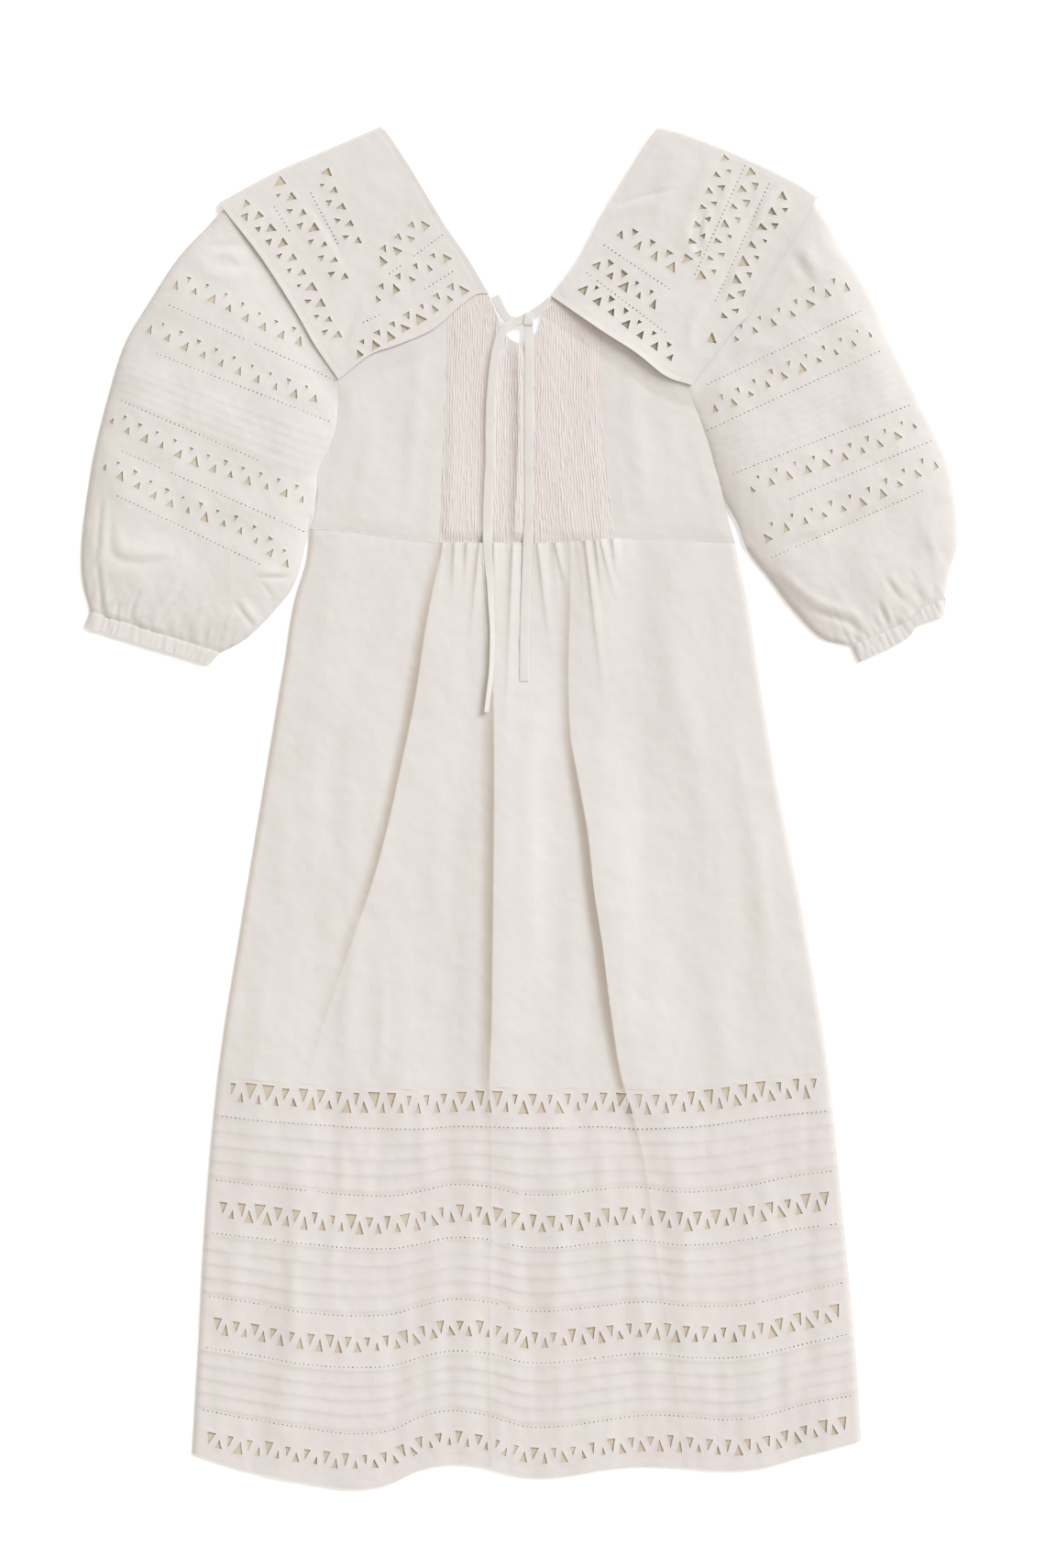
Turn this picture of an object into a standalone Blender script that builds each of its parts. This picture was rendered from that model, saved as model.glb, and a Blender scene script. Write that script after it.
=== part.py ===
"""Puff sleeve dress of white cotton, laid flat on its back.

The neck points to +Y, the front faces +Z and the back lies on z = 0.  The origin is under the middle of
the dress.  Every size in the tables is in millimetres; the meshes are made in metres.
"""
import math
from collections import namedtuple

import bpy
import numpy as np
from mathutils import Vector
from mathutils.bvhtree import BVHTree
from mathutils.geometry import delaunay_2d_cdt

MM = 0.001

# Driving sizes
CLOTH = 1.5            # thickness of the cloth wall
SEAM = 0.3             # space kept between two pieces at a seam
SEAM_INSET = 0.2       # each piece ends this far short of its seam line
BACK_INSET = 0.8       # the back panels end this far inside the front ones
LAYER = CLOTH + SEAM   # one layer of cloth on another
TIE_WIDTH = 8.0
TIE_THICK = 1.6
TIE_CLEAR = 0.4        # the tie lies this far over the cloth's highest point
FOLD_UNDER = 0.7       # how much of a fold's height its underside follows
PUFF = 4.4             # how far the sleeves stand up
PUFF_RUN = 24.0        # how far in from its edge a sleeve takes to rise
PUFF_UNDER = 0.75      # how much of the puff the sleeve's underside follows
UNDER_COLLAR_RISE = 2.2                                   # front cloth between the collar's halves
COLLAR_FLOOR = LAYER + UNDER_COLLAR_RISE + LAYER          # underside of the collar's front half
LIP_SPLIT = 3.6        # the halves of the collar meet at this height, along the shoulder fold
LIP_WIDTH = 1.6
LIP_LINES = (1.5, 1.9) # lines of points on each side of the lip's inner edge
COLLAR_REACH = (6.5, 32.0)   # the cloth under the collar is level to the first, back down at the second
FOLD_CORNER = 2.6      # from the ends of the shoulder fold to the flat cloth beside it
COLLAR_CREASE = (4.0, 32.0)  # where lines of points follow the collar's outline in that cloth

# Cutwork: rows of cut-out triangles, one point down and one point up in each repeat.
# Here the larger one of each repeat is cut.
Cutwork = namedtuple("Cutwork", "pitch base height")
SKIRT_CUTWORK = [Cutwork(15.6, 8.0, 12.0), Cutwork(15.9, 7.6, 11.5), Cutwork(16.4, 7.2, 11.0),
                 Cutwork(16.8, 7.0, 10.5)]
SLEEVE_CUTWORK = Cutwork(17.0, 6.4, 7.6)
COLLAR_CUTWORK = Cutwork(16.0, 6.2, 7.4)

# Sides of the skirt: how far left and right of the middle it reaches at each height
SkirtSide = namedtuple("SkirtSide", "y left right")
SKIRT_SIDES = [
    SkirtSide(243, -183, 186), SkirtSide(212, -187, 192), SkirtSide(186, -195, 198),
    SkirtSide(122, -206, 208), SkirtSide(32, -221, 223), SkirtSide(-96, -242, 248),
    SkirtSide(-224, -262, 269), SkirtSide(-352, -274, 282), SkirtSide(-480, -281, 294),
    SkirtSide(-564, -286, 299),
]

# Lines that run across the skirt, each as its height at the same steps from the left side (0) to the right (1)
Course = namedtuple("Course", "across waist row1 row2 row3 row4 hem")
COURSES = [
    Course(0.00, 243, -238, -342, -443, -542, -564), Course(0.08, 241, -243, -347, -450, -551, -578),
    Course(0.16, 237, -246, -352, -458, -558, -587), Course(0.24, 233, -249, -356, -461, -564, -594),
    Course(0.30, 231, -250, -356, -459, -560, -589), Course(0.34, 231, -250, -352, -452, -549, -578),
    Course(0.38, 231, -248, -347, -447, -544, -573), Course(0.44, 231, -248, -348, -449, -548, -575),
    Course(0.50, 231, -249, -355, -457, -558, -584), Course(0.56, 231, -249, -355, -456, -557, -583),
    Course(0.62, 232, -248, -351, -452, -552, -577), Course(0.68, 234, -250, -349, -449, -548, -575),
    Course(0.74, 235, -249, -353, -452, -549, -576), Course(0.80, 234, -247, -352, -453, -552, -578),
    Course(0.86, 233, -242, -347, -449, -548, -575), Course(0.92, 232, -238, -340, -441, -538, -565),
    Course(1.00, 231, -234, -334, -431, -530, -553),
]
BORDER_SEAM = 4.0      # the border is sewn on this far above its first row of cutwork
TUCKS = 5              # tucks between two rows of cutwork
TUCK_BELOW = 19.0      # first tuck, below the row above
TUCK_ABOVE = 21.0      # last tuck, above the row below
TUCK_RISE = 0.8
TUCK_DEPTH = 7.0       # cloth above a tuck's edge that it raises
TUCK_STEP = 0.9        # from a tuck's edge to the cloth just below it

# Folds of the front skirt: the valley line of each, and the height that the cloth rises to on its right
FoldRow = namedtuple("FoldRow", "y x height")
Fold = namedtuple("Fold", "rise fall rows")
SKIRT_FOLDS = [
    Fold(7, 70, [FoldRow(232, -67, 0.8), FoldRow(157, -82, 3.0), FoldRow(92, -96, 3.6), FoldRow(-2, -120, 3.8),
                 FoldRow(-96, -154, 3.2), FoldRow(-176, -178, 2.0), FoldRow(-224, -186, 0.6),
                 FoldRow(-250, -190, 0.0)]),
    Fold(26, 60, [FoldRow(232, -30, 0.6), FoldRow(144, -22, 1.6), FoldRow(64, -22, 2.2), FoldRow(-16, -30, 2.6),
                  FoldRow(-96, -34, 2.8), FoldRow(-176, -34, 3.0), FoldRow(-288, -22, 3.0),
                  FoldRow(-392, -18, 2.8), FoldRow(-496, -22, 2.6), FoldRow(-600, -15, 2.4)]),
    Fold(46, 80, [FoldRow(232, 45, 0.8), FoldRow(180, 45, 2.4), FoldRow(92, 43, 3.4), FoldRow(-16, 56, 4.2),
                  FoldRow(-96, 62, 4.4), FoldRow(-176, 74, 4.2), FoldRow(-288, 110, 3.4),
                  FoldRow(-392, 122, 2.8), FoldRow(-496, 140, 2.2), FoldRow(-600, 162, 1.6)]),
]

# Gathers below the waist seam: each a small ridge that fades out on the way down
Gather = namedtuple("Gather", "x y length lean")
GATHERS = [
    Gather(-57, 228, 46, -0.04), Gather(-35, 229, 80, -0.10), Gather(-34, 226, 60, 0.12),
    Gather(-23, 225, 52, 0.02), Gather(-6, 229, 140, -0.04), Gather(15, 229, 82, 0.12),
    Gather(30, 229, 40, 0.24), Gather(57, 227, 116, 0.12), Gather(66, 227, 40, 0.12),
    Gather(70, 229, 46, 0.26), Gather(81, 229, 30, 0.10), Gather(-46, 229, 34, -0.06),
]
GATHER_RISE, GATHER_FALL, GATHER_HEIGHT = 2.5, 8.0, 1.2

# Smocked centre panel: outline, tucks and the two soft pleats in it
SMOCK_TUCKS = 60
SMOCK_RIDGE, SMOCK_GROOVE = 1.0, 0.2    # crests above and grooves below the plain cloth's top
SMOCK_WAVER = 0.35
SMOCK_COURSES = 7
SMOCK_LEFT = [(-62, 441), (-63, 409), (-66, 320), (-70, 231)]
SMOCK_RIGHT = [(82, 236), (71, 339), (70, 416), (68, 430)]
SMOCK_TOP_LEFT = np.array([(-30, 450), (-40, 453), (-62, 441)])
SMOCK_TOP_RIGHT = np.array([(68, 430), (48, 441), (30, 449)])
KEYHOLE = [(29, 446), (22, 432), (17, 416), (12, 411), (6, 404), (1, 403), (-10, 410), (-14, 417), (-17, 419),
           (-26, 445)]
BACK_KEYHOLE = np.array([(16, 426), (5, 402), (-9, 402), (-16, 418)])
SHOULDER_LEFT = np.array([(-124, 588), (-166, 570), (-189, 560)])
SHOULDER_RIGHT = np.array([(189, 565), (146, 582), (124, 588)])
SMOCK_FOLDS = [
    Fold(3, 14, [FoldRow(446, -20, 0.0), FoldRow(418, -17, 0.4), FoldRow(397, -25, 1.4), FoldRow(350, -29, 1.5),
                 FoldRow(303, -34, 1.3), FoldRow(256, -36, 1.0), FoldRow(231, -37, 0.6)]),
    Fold(8, 18, [FoldRow(410, -6, 0.0), FoldRow(392, -5, 0.9), FoldRow(340, -4, 1.2), FoldRow(280, -7, 1.0),
                 FoldRow(231, -8, 0.6)]),
]

# Collar: the fold over the shoulder, the neck edge, and the two sewn edges that meet at the lower corner
COLLAR_LEFT = {
    "fold": [(-122, 594), (-166, 575), (-214, 554), (-262, 528)],
    "outer": [(-262, 528), (-257, 520), (-226, 480), (-197, 435), (-178, 402), (-158, 373)],
    "lower": [(-158, 373), (-131, 394), (-107, 403), (-77, 416), (-53, 436), (-38, 447), (-27, 448)],
    "neck": [(-27, 448), (-46, 480), (-66, 509), (-95, 557), (-114, 586), (-122, 594)],
    "rows": [[(-172, 560), (-157, 524), (-138, 486)], [(-215, 551), (-186, 512), (-149, 455)],
             [(-245, 531), (-214, 499), (-185, 456), (-156, 404)], [(-78, 513), (-104, 489), (-127, 472)],
             [(-57, 484), (-93, 462), (-132, 439)], [(-43, 456), (-92, 424), (-147, 392)]],
}
COLLAR_RIGHT = {
    "fold": [(122, 594), (146, 588), (194, 569), (242, 546), (261, 533)],
    "outer": [(261, 533), (257, 527), (228, 478), (214, 455), (202, 432), (185, 414), (150, 368)],
    "lower": [(150, 368), (127, 376), (101, 396), (70, 416), (27, 446)],
    "neck": [(27, 446), (53, 480), (74, 519), (97, 557), (115, 586), (122, 594)],
    "rows": [[(183, 572), (160, 522), (145, 470)], [(206, 560), (182, 512), (156, 455)],
             [(235, 539), (207, 496), (189, 456), (176, 420)], [(81, 504), (108, 488), (141, 467)],
             [(62, 478), (93, 454), (124, 435)], [(50, 457), (95, 421), (138, 388)]],
}

# Sleeves: outer edge from the collar down, cuff seam, inner edge up, and the armhole seam under the collar
SLEEVE_LEFT = {
    "outer": [(-253, 527), (-271, 509), (-298, 480), (-323, 442), (-345, 404), (-361, 352), (-373, 301),
              (-382, 237), (-382, 200), (-375, 171)],
    "cuff": [(-375, 171), (-262, 135)],
    "mouth": [(-271, 125), (-380, 158)],
    "inner": [(-262, 135), (-238, 148), (-213, 173), (-195, 199), (-182, 252), (-177, 276), (-176, 293),
              (-161, 328), (-158, 372)],
    "armhole": [(-158, 372), (-172, 440), (-183, 504), (-190, 558)],
    "cap": [(-190, 558), (-214, 549), (-253, 527)],
    "rows": [[(-307, 458), (-273, 446), (-247, 432), (-218, 417), (-184, 404)],
             [(-330, 421), (-311, 412), (-274, 394), (-236, 377), (-199, 362), (-171, 355)],
             [(-362, 342), (-342, 329), (-314, 317), (-283, 302), (-245, 288), (-206, 275), (-182, 266)],
             [(-368, 301), (-338, 284), (-310, 268), (-278, 255), (-240, 240), (-207, 215), (-195, 212)]],
    "tucks": ([(-340, 384), (-250, 350), (-172, 322)], [(-350, 358), (-260, 320), (-186, 292)]),
}
SLEEVE_RIGHT = {
    "outer": [(258, 527), (271, 509), (288, 480), (310, 442), (327, 404), (351, 352), (375, 301), (383, 237),
              (375, 205), (372, 184)],
    "cuff": [(372, 182), (352, 174), (340, 163), (326, 156), (290, 141)],
    "mouth": [(296, 127), (337, 147), (347, 159), (370, 167)],
    "inner": [(290, 141), (263, 148), (238, 173), (218, 199), (199, 224), (190, 248), (178, 272), (165, 318),
              (148, 364)],
    "armhole": [(148, 364), (160, 430), (178, 510), (190, 564)],
    "cap": [(190, 564), (219, 551), (258, 527)],
    "rows": [[(180, 405), (213, 420), (241, 432), (264, 447), (293, 456)],
             [(162, 346), (188, 354), (225, 374), (254, 387), (288, 403), (312, 416)],
             [(195, 274), (224, 286), (269, 301), (308, 315), (338, 329), (350, 338)],
             [(208, 231), (231, 244), (268, 256), (310, 271), (346, 291), (370, 302)]],
    "tucks": ([(178, 322), (250, 352), (322, 384)], [(190, 300), (262, 330), (336, 358)]),
}
SLEEVE_TUCKS = 5
SLEEVE_TUCK_RISE, SLEEVE_TUCK_DEPTH = 0.7, 5.0
CUFF_GATHERS = 15
CUFF_GATHER_HEIGHT, CUFF_GATHER_RUN = 0.6, 22.0
CUFF_GATHER_LINE = (3.0, 22.0)   # each gather's points, up from the cuff seam

# Neck tie: the middle line of each half, with its turn about that line in degrees
TieRow = namedtuple("TieRow", "x y roll")
TIE_LEFT = [
    TieRow(-21.5, 446, 0), TieRow(-16, 434, 0), TieRow(-9, 425, 0), TieRow(-1, 424, 0), TieRow(5, 425, 0),
    TieRow(8, 418, 0), TieRow(8, 400, 0), TieRow(8, 380, 0), TieRow(8, 350, 0), TieRow(8, 320, 0),
    TieRow(8, 290, 0), TieRow(8, 260, 0), TieRow(7, 235, 0), TieRow(6, 210, 0), TieRow(5, 180, 0),
    TieRow(4, 145, 0), TieRow(4, 110, 0),
]
TIE_RIGHT = [
    TieRow(26.5, 441, 0), TieRow(19, 435, 0), TieRow(11, 430, 0), TieRow(2, 425, 0), TieRow(-8, 422, 0),
    TieRow(-15, 414, 0), TieRow(-20, 400, 0), TieRow(-24, 372, 0), TieRow(-26, 340, 0), TieRow(-26, 305, 0),
    TieRow(-28, 265, 0), TieRow(-28, 225, 0), TieRow(-26, 200, 20), TieRow(-25, 175, 45),
    TieRow(-24, 150, 65), TieRow(-25, 118, 65), TieRow(-29, 83, 60),
]
TIE_OVER_GAP = 4.6     # height of the tie where it spans the keyhole
KNOT_SIZE = (12.0, 11.0, 3.0)
KNOT_AT = (7.5, 429.0)

COLOURS = {
    "cloth": (0.79, 0.765, 0.745),
    "smocking": (0.75, 0.69, 0.675),
    "border": (0.74, 0.70, 0.675),
    "tie": (0.80, 0.775, 0.755),
}
ROUGHNESS = 0.85


# Curves and outlines

def curve_through(points, step):
    """A smooth curve through the points, as an array of points about one step apart."""
    points = np.array(points, float)
    ends = np.vstack([2 * points[0] - points[1], points, 2 * points[-1] - points[-2]])
    out = [points[0]]
    for i in range(1, len(ends) - 2):
        before, start, end, after = ends[i - 1:i + 3]
        parts = max(1, round(float(np.linalg.norm(end - start)) / step))
        for k in range(1, parts + 1):
            t = k / parts
            out.append(0.5 * (2 * start + (end - before) * t
                              + (2 * before - 5 * start + 4 * end - after) * t * t
                              + (3 * start - before - 3 * end + after) * t ** 3))
    return np.array(out)


def closed_outline(*runs):
    """Runs that follow each other as one closed outline, anticlockwise, with no point twice."""
    points = []
    for run in runs:
        for point in run:
            if not points or np.linalg.norm(point - points[-1]) > 0.5:
                points.append(np.array(point, float))
    if np.linalg.norm(points[0] - points[-1]) < 0.5:
        points.pop()
    outline = np.array(points)
    return outline if area(outline) > 0 else outline[::-1]


def area(outline):
    x, y = outline[:, 0], outline[:, 1]
    return 0.5 * float(np.sum(x * np.roll(y, -1) - np.roll(x, -1) * y))


def moved_out(outline, distance):
    """The outline moved out by a distance, or in where it is negative."""
    ahead = np.roll(outline, -1, axis=0) - outline
    ahead /= np.linalg.norm(ahead, axis=1)[:, None]
    normal = np.stack([ahead[:, 1], -ahead[:, 0]], axis=1)
    both = normal + np.roll(normal, 1, axis=0)
    both /= np.maximum(np.sum(both * both, axis=1), 1.6)[:, None] / 2
    return outline + both * distance


def distance_to_line(points, line, closed):
    """Distance from each point to a line of points."""
    start = line if closed else line[:-1]
    end = np.roll(line, -1, axis=0) if closed else line[1:]
    run = end - start
    along = np.einsum("pkc,kc->pk", points[:, None] - start[None], run)
    along = np.clip(along / np.maximum(np.sum(run * run, axis=1), 1e-9), 0, 1)
    nearest = start[None] + along[..., None] * run[None]
    return np.linalg.norm(points[:, None] - nearest, axis=2).min(axis=1)


def is_inside(points, outline):
    x, y = points[:, 0][:, None], points[:, 1][:, None]
    x0, y0 = outline[:, 0][None], outline[:, 1][None]
    x1, y1 = np.roll(outline[:, 0], -1)[None], np.roll(outline[:, 1], -1)[None]
    spans = (y0 > y) != (y1 > y)
    rise = np.where(y1 == y0, 1.0, y1 - y0)
    left = x < x0 + (y - y0) * (x1 - x0) / rise
    return np.sum(spans & left, axis=1) % 2 == 1


def signed_distance(points, outline):
    away = distance_to_line(points, outline, True)
    return np.where(is_inside(points, outline), -away, away)


def smooth_table(steps, values, at):
    """Value of a table at any step, on a smooth curve through its rows."""
    steps, values = np.array(steps, float), np.array(values, float)
    slopes = np.gradient(values, steps)
    i = np.clip(np.searchsorted(steps, at) - 1, 0, len(steps) - 2)
    width = steps[i + 1] - steps[i]
    t = np.clip((at - steps[i]) / width, 0, 1)
    return ((2 * t ** 3 - 3 * t ** 2 + 1) * values[i] + (t ** 3 - 2 * t ** 2 + t) * width * slopes[i]
            + (3 * t ** 2 - 2 * t ** 3) * values[i + 1] + (t ** 3 - t ** 2) * width * slopes[i + 1])


# Cloth solids

def crosses(a, b, starts, ends):
    """Whether the segment a-b meets any of the segments."""
    def side(p, q, r):
        run, out = q - p, r - p
        return run[..., 0] * out[..., 1] - run[..., 1] * out[..., 0]
    one = side(starts, ends, a[None]) * side(starts, ends, b[None])
    two = side(a[None], b[None], starts) * side(a[None], b[None], ends)
    return bool(np.any((one <= 0) & (two <= 0)))


def enclosed(faces, rim):
    """Which faces can't be reached from outside without crossing the rim."""
    beside = {}
    for i, (a, b, c) in enumerate(faces):
        for edge in (frozenset((a, b)), frozenset((b, c)), frozenset((c, a))):
            beside.setdefault(edge, []).append(i)
    outside = {on[0] for edge, on in beside.items() if len(on) == 1 and edge not in rim}
    waiting = list(outside)
    while waiting:
        a, b, c = faces[waiting.pop()]
        for edge in (frozenset((a, b)), frozenset((b, c)), frozenset((c, a))):
            if edge not in rim:
                fresh = [i for i in beside[edge] if i not in outside]
                outside.update(fresh)
                waiting += fresh
    return np.array([i not in outside for i in range(len(faces))])


def triangulate(outline, cuts, creases, spots, clear=1.0):
    """One side of a sheet: its points and its triangles, the outline's and cuts' points first."""
    loops = [outline] + [cut if area(cut) < 0 else cut[::-1] for cut in cuts]
    rim = np.vstack(loops)
    starts = rim
    ends = np.vstack([np.roll(loop, -1, axis=0) for loop in loops])

    def usable(points):
        good = is_inside(points, outline) & (distance_to_line(points, outline, True) > clear)
        for cut in cuts:
            near = np.linalg.norm(points - cut.mean(axis=0), axis=1) < 20
            if near.any():
                good[near] &= signed_distance(points[near], cut) > clear
        return good

    points = [rim]
    edges = []
    first = 0
    for loop in loops:
        count = len(loop)
        edges += [(first + i, first + (i + 1) % count) for i in range(count)]
        first += count
    for crease in creases:
        good = usable(crease)
        for i in range(1, len(crease)):
            if good[i - 1] and good[i] and not crosses(crease[i - 1], crease[i], starts, ends):
                edges.append((first + i - 1 - int(np.sum(~good[:i - 1])), first + i - int(np.sum(~good[:i]))))
        points.append(crease[good])
        first += int(good.sum())
    if len(spots):
        points.append(spots[usable(spots)])
    flat = np.vstack(points)
    result = delaunay_2d_cdt([Vector(p) for p in flat], edges, [], 0, 1e-4, True)
    made = np.array([tuple(v) for v in result[0]])
    faces = np.array(result[2])
    where = {}
    for new, olds in enumerate(result[3]):
        for old in olds:
            where[old] = new
    keep = enclosed(faces.tolist(), {frozenset((where[a], where[b])) for a, b in edges[:len(rim)]})
    middle = made[faces].mean(axis=1)
    for cut in cuts:
        near = np.linalg.norm(middle - cut.mean(axis=0), axis=1) < 20
        if near.any():
            keep[near] &= ~is_inside(middle[near], cut)
    order = [where[i] for i in range(len(rim))]
    used = sorted(set(faces[keep].ravel().tolist()) - set(order))
    index = {old: new for new, old in enumerate(order + used)}
    triangles = [tuple(index[i] for i in face) for face in faces[keep].tolist()]
    return made[order + used], triangles, [len(loop) for loop in loops]


def cloth_panel(name, material, outline, top, under, cuts=(), creases=(), spots=(), under_creases=None,
                under_spots=None):
    """A sheet of cloth with an outline and cuts seen from above, and a height for its top and its underside."""
    spots = np.array(spots, float).reshape(-1, 2)
    upper, upper_faces, counts = triangulate(outline, cuts, creases, spots)
    lower_creases = creases if under_creases is None else under_creases
    lower_spots = spots if under_spots is None else np.array(under_spots, float).reshape(-1, 2)
    lower, lower_faces, _ = triangulate(outline, cuts, lower_creases, lower_spots)
    shift = len(upper)
    points = [(x, y, z) for (x, y), z in zip(upper, top(upper))]
    points += [(x, y, z) for (x, y), z in zip(lower, under(lower))]
    faces = list(upper_faces) + [(c + shift, b + shift, a + shift) for a, b, c in lower_faces]
    first = 0
    for count in counts:
        for i in range(count):
            a, b = first + i, first + (i + 1) % count
            faces += [(a, a + shift, b + shift), (a, b + shift, b)]
        first += count
    return cloth_object(name, material, points, faces)


def cloth_object(name, material, points, faces):
    mesh = bpy.data.meshes.new(name)
    mesh.from_pydata([tuple(c * MM for c in p) for p in points], [], faces)
    mesh.validate()
    mesh.shade_smooth()
    mesh.set_sharp_from_angle(angle=math.radians(40))
    mesh.materials.append(material)
    made = bpy.data.objects.new(name, mesh)
    DRESS.objects.link(made)
    return made


def principled(name, colour):
    material = bpy.data.materials.new(name)
    material.use_nodes = True
    shader = material.node_tree.nodes["Principled BSDF"]
    shader.inputs["Base Color"].default_value = (*colour, 1.0)
    shader.inputs["Roughness"].default_value = ROUGHNESS
    shader.inputs["Metallic"].default_value = 0.0
    return material


def grid_spots(outline, step):
    """Points in staggered rows over an outline's box."""
    low, high = outline.min(axis=0), outline.max(axis=0)
    rows = []
    for j, y in enumerate(np.arange(low[1] + step / 2, high[1], step * 0.87)):
        x = np.arange(low[0] + (step / 2 if j % 2 else step / 4), high[0], step)
        rows.append(np.stack([x, np.full_like(x, y)], axis=1))
    return np.vstack(rows)


def triangles_along(line, cutwork, side, outline):
    """Cut-out triangles along the middle line of a row, their base on its left (1) or its right (-1)."""
    line = curve_through(line, 2.0)
    steps = np.linalg.norm(np.diff(line, axis=0), axis=1)
    along = np.concatenate([[0], np.cumsum(steps)])
    count = max(1, round(along[-1] / cutwork.pitch))
    cuts = []
    for k in range(count):
        at = (k + 0.5) * along[-1] / count
        middle = np.array([np.interp(at, along, line[:, c]) for c in (0, 1)])
        ahead = np.array([np.interp(at + 1, along, line[:, c]) for c in (0, 1)])
        behind = np.array([np.interp(at - 1, along, line[:, c]) for c in (0, 1)])
        run = (ahead - behind) / np.linalg.norm(ahead - behind)
        out = np.array([-run[1], run[0]]) * side
        cut = np.array([middle + out * cutwork.height / 2 - run * cutwork.base / 2,
                        middle + out * cutwork.height / 2 + run * cutwork.base / 2,
                        middle - out * cutwork.height / 2])
        if np.all(signed_distance(cut, outline) < -2.0):
            cuts.append(cut)
    return cuts


# Folds

def fold_profile(from_line, rise, fall):
    """A fold across its valley line: steep at the line, up over the rise, and gently down over the fall."""
    up = np.sin(np.clip(from_line / rise, 0, 1) * math.pi / 2)
    down = 0.5 + 0.5 * np.cos(np.clip((from_line - rise) / fall, 0, 1) * math.pi)
    return np.where(from_line <= rise, up, down)


def fold_heights(points, folds):
    """Height that the folds give each point."""
    total = np.zeros(len(points))
    for fold in folds:
        rows = sorted(fold.rows, key=lambda row: row.y)
        heights = [row.y for row in rows]
        line = smooth_table(heights, [row.x for row in rows], points[:, 1])
        size = np.interp(points[:, 1], heights, [row.height for row in rows])
        total = np.maximum(total, size * fold_profile(points[:, 0] - line, fold.rise, fold.fall))
    return total


def fold_creases(folds, step):
    """Lines of points along each fold, where its slope changes."""
    lines = []
    for fold in folds:
        rows = sorted(fold.rows, key=lambda row: row.y)
        y = np.arange(rows[0].y, rows[-1].y + 1, step)
        x = smooth_table([row.y for row in rows], [row.x for row in rows], y)
        for away in (0, fold.rise / 2, fold.rise, fold.rise + fold.fall / 2, fold.rise + fold.fall):
            lines.append(np.stack([x + away, y], axis=1))
    return lines


def tuck_height(above, rise, depth):
    """A tuck's height above the cloth: highest at its edge, none just below it."""
    return np.where((above > -SEAM / 2) & (above < depth), rise * (1 - above / depth), 0)


def gather_heights(points):
    """Height that the gathers below the waist seam give each point."""
    total = np.zeros(len(points))
    for gather in GATHERS:
        down = gather.y + 4 - points[:, 1]
        line = gather.x + down * gather.lean
        fade = np.clip(1 - down / gather.length, 0, 1) * (down > -6)
        total = np.maximum(total, GATHER_HEIGHT * fade
                           * fold_profile(points[:, 0] - line, GATHER_RISE, GATHER_FALL))
    return total


def gather_creases():
    lines = []
    for gather in GATHERS:
        down = np.linspace(4, gather.length, 4)
        for away in (0, GATHER_RISE, GATHER_RISE + GATHER_FALL):
            lines.append(np.stack([gather.x + down * gather.lean + away, gather.y + 4 - down], axis=1))
    return lines


# Layers under and beside the collar

def collar_outline(table):
    fold, outer = curve_through(table["fold"], 14), curve_through(table["outer"], 14)
    lower, neck = curve_through(table["lower"], 14), curve_through(table["neck"], 14)
    tip = outer[0] + (outer[1] - outer[0]) / np.linalg.norm(outer[1] - outer[0]) * FOLD_CORNER
    top = neck[-1] + (neck[-2] - neck[-1]) / np.linalg.norm(neck[-2] - neck[-1]) * FOLD_CORNER
    return closed_outline(fold, tip[None], outer[1:], lower, neck[:-1], top[None])


def under_collar(points):
    """1 where cloth lies between the two halves of a collar, 0 well away from it."""
    away = np.minimum(signed_distance(points, OUTLINE_COLLAR_LEFT),
                      signed_distance(points, OUTLINE_COLLAR_RIGHT))
    near, far = COLLAR_REACH
    return np.clip((far - away) / (far - near), 0, 1)


def collar_creases():
    lines = []
    for outline in (OUTLINE_COLLAR_LEFT, OUTLINE_COLLAR_RIGHT):
        for reach in COLLAR_CREASE:
            line = moved_out(outline, reach)
            lines.append(np.vstack([line, line[:1]]))
    return lines


def back_floor(points):
    return LAYER * under_collar(points)


def front_floor(points):
    return LAYER + UNDER_COLLAR_RISE * under_collar(points)


# Skirt

def skirt_side(y, side):
    rows = sorted(SKIRT_SIDES, key=lambda row: row.y)
    return smooth_table([row.y for row in rows], [getattr(row, side) for row in rows], y)


def course_point(name, across, shift=0.0):
    """A point on one of the lines across the skirt."""
    y = smooth_table([row.across for row in COURSES], [getattr(row, name) for row in COURSES], across) + shift
    left, right = skirt_side(y, "left"), skirt_side(y, "right")
    return np.stack([left + (right - left) * across, y], axis=-1)


def course_line(name, parts, shift=0.0, inset=0.0):
    return course_point(name, np.linspace(inset, 1 - inset, parts + 1), shift)


def side_line(top, bottom, side, step):
    y = np.linspace(top, bottom, max(2, round(abs(top - bottom) / step)))
    return np.stack([skirt_side(y, side), y], axis=1)


def skirt_outline(top, top_shift, bottom, bottom_shift, parts):
    upper = course_line(top, parts, top_shift)
    lower = course_line(bottom, parts, bottom_shift)
    return closed_outline(lower, side_line(lower[-1][1], upper[-1][1], "right", 40), upper[::-1],
                          side_line(upper[0][1], lower[0][1], "left", 40))


def tuck_lines(upper, lower, parts):
    """Pairs of lines along each tuck of the border: its folded edge and the cloth just below it."""
    pairs = []
    across = np.linspace(0.01, 0.99, parts + 1)
    start = course_point(upper, across, -SKIRT_CUTWORK[0].height - TUCK_BELOW)
    end = course_point(lower, across, TUCK_ABOVE)
    for k in range(TUCKS):
        t = k / (TUCKS - 1)
        edge = start * (1 - t) + end * t
        pairs.append((edge, edge - np.array([0, TUCK_STEP])))
    return pairs


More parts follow.
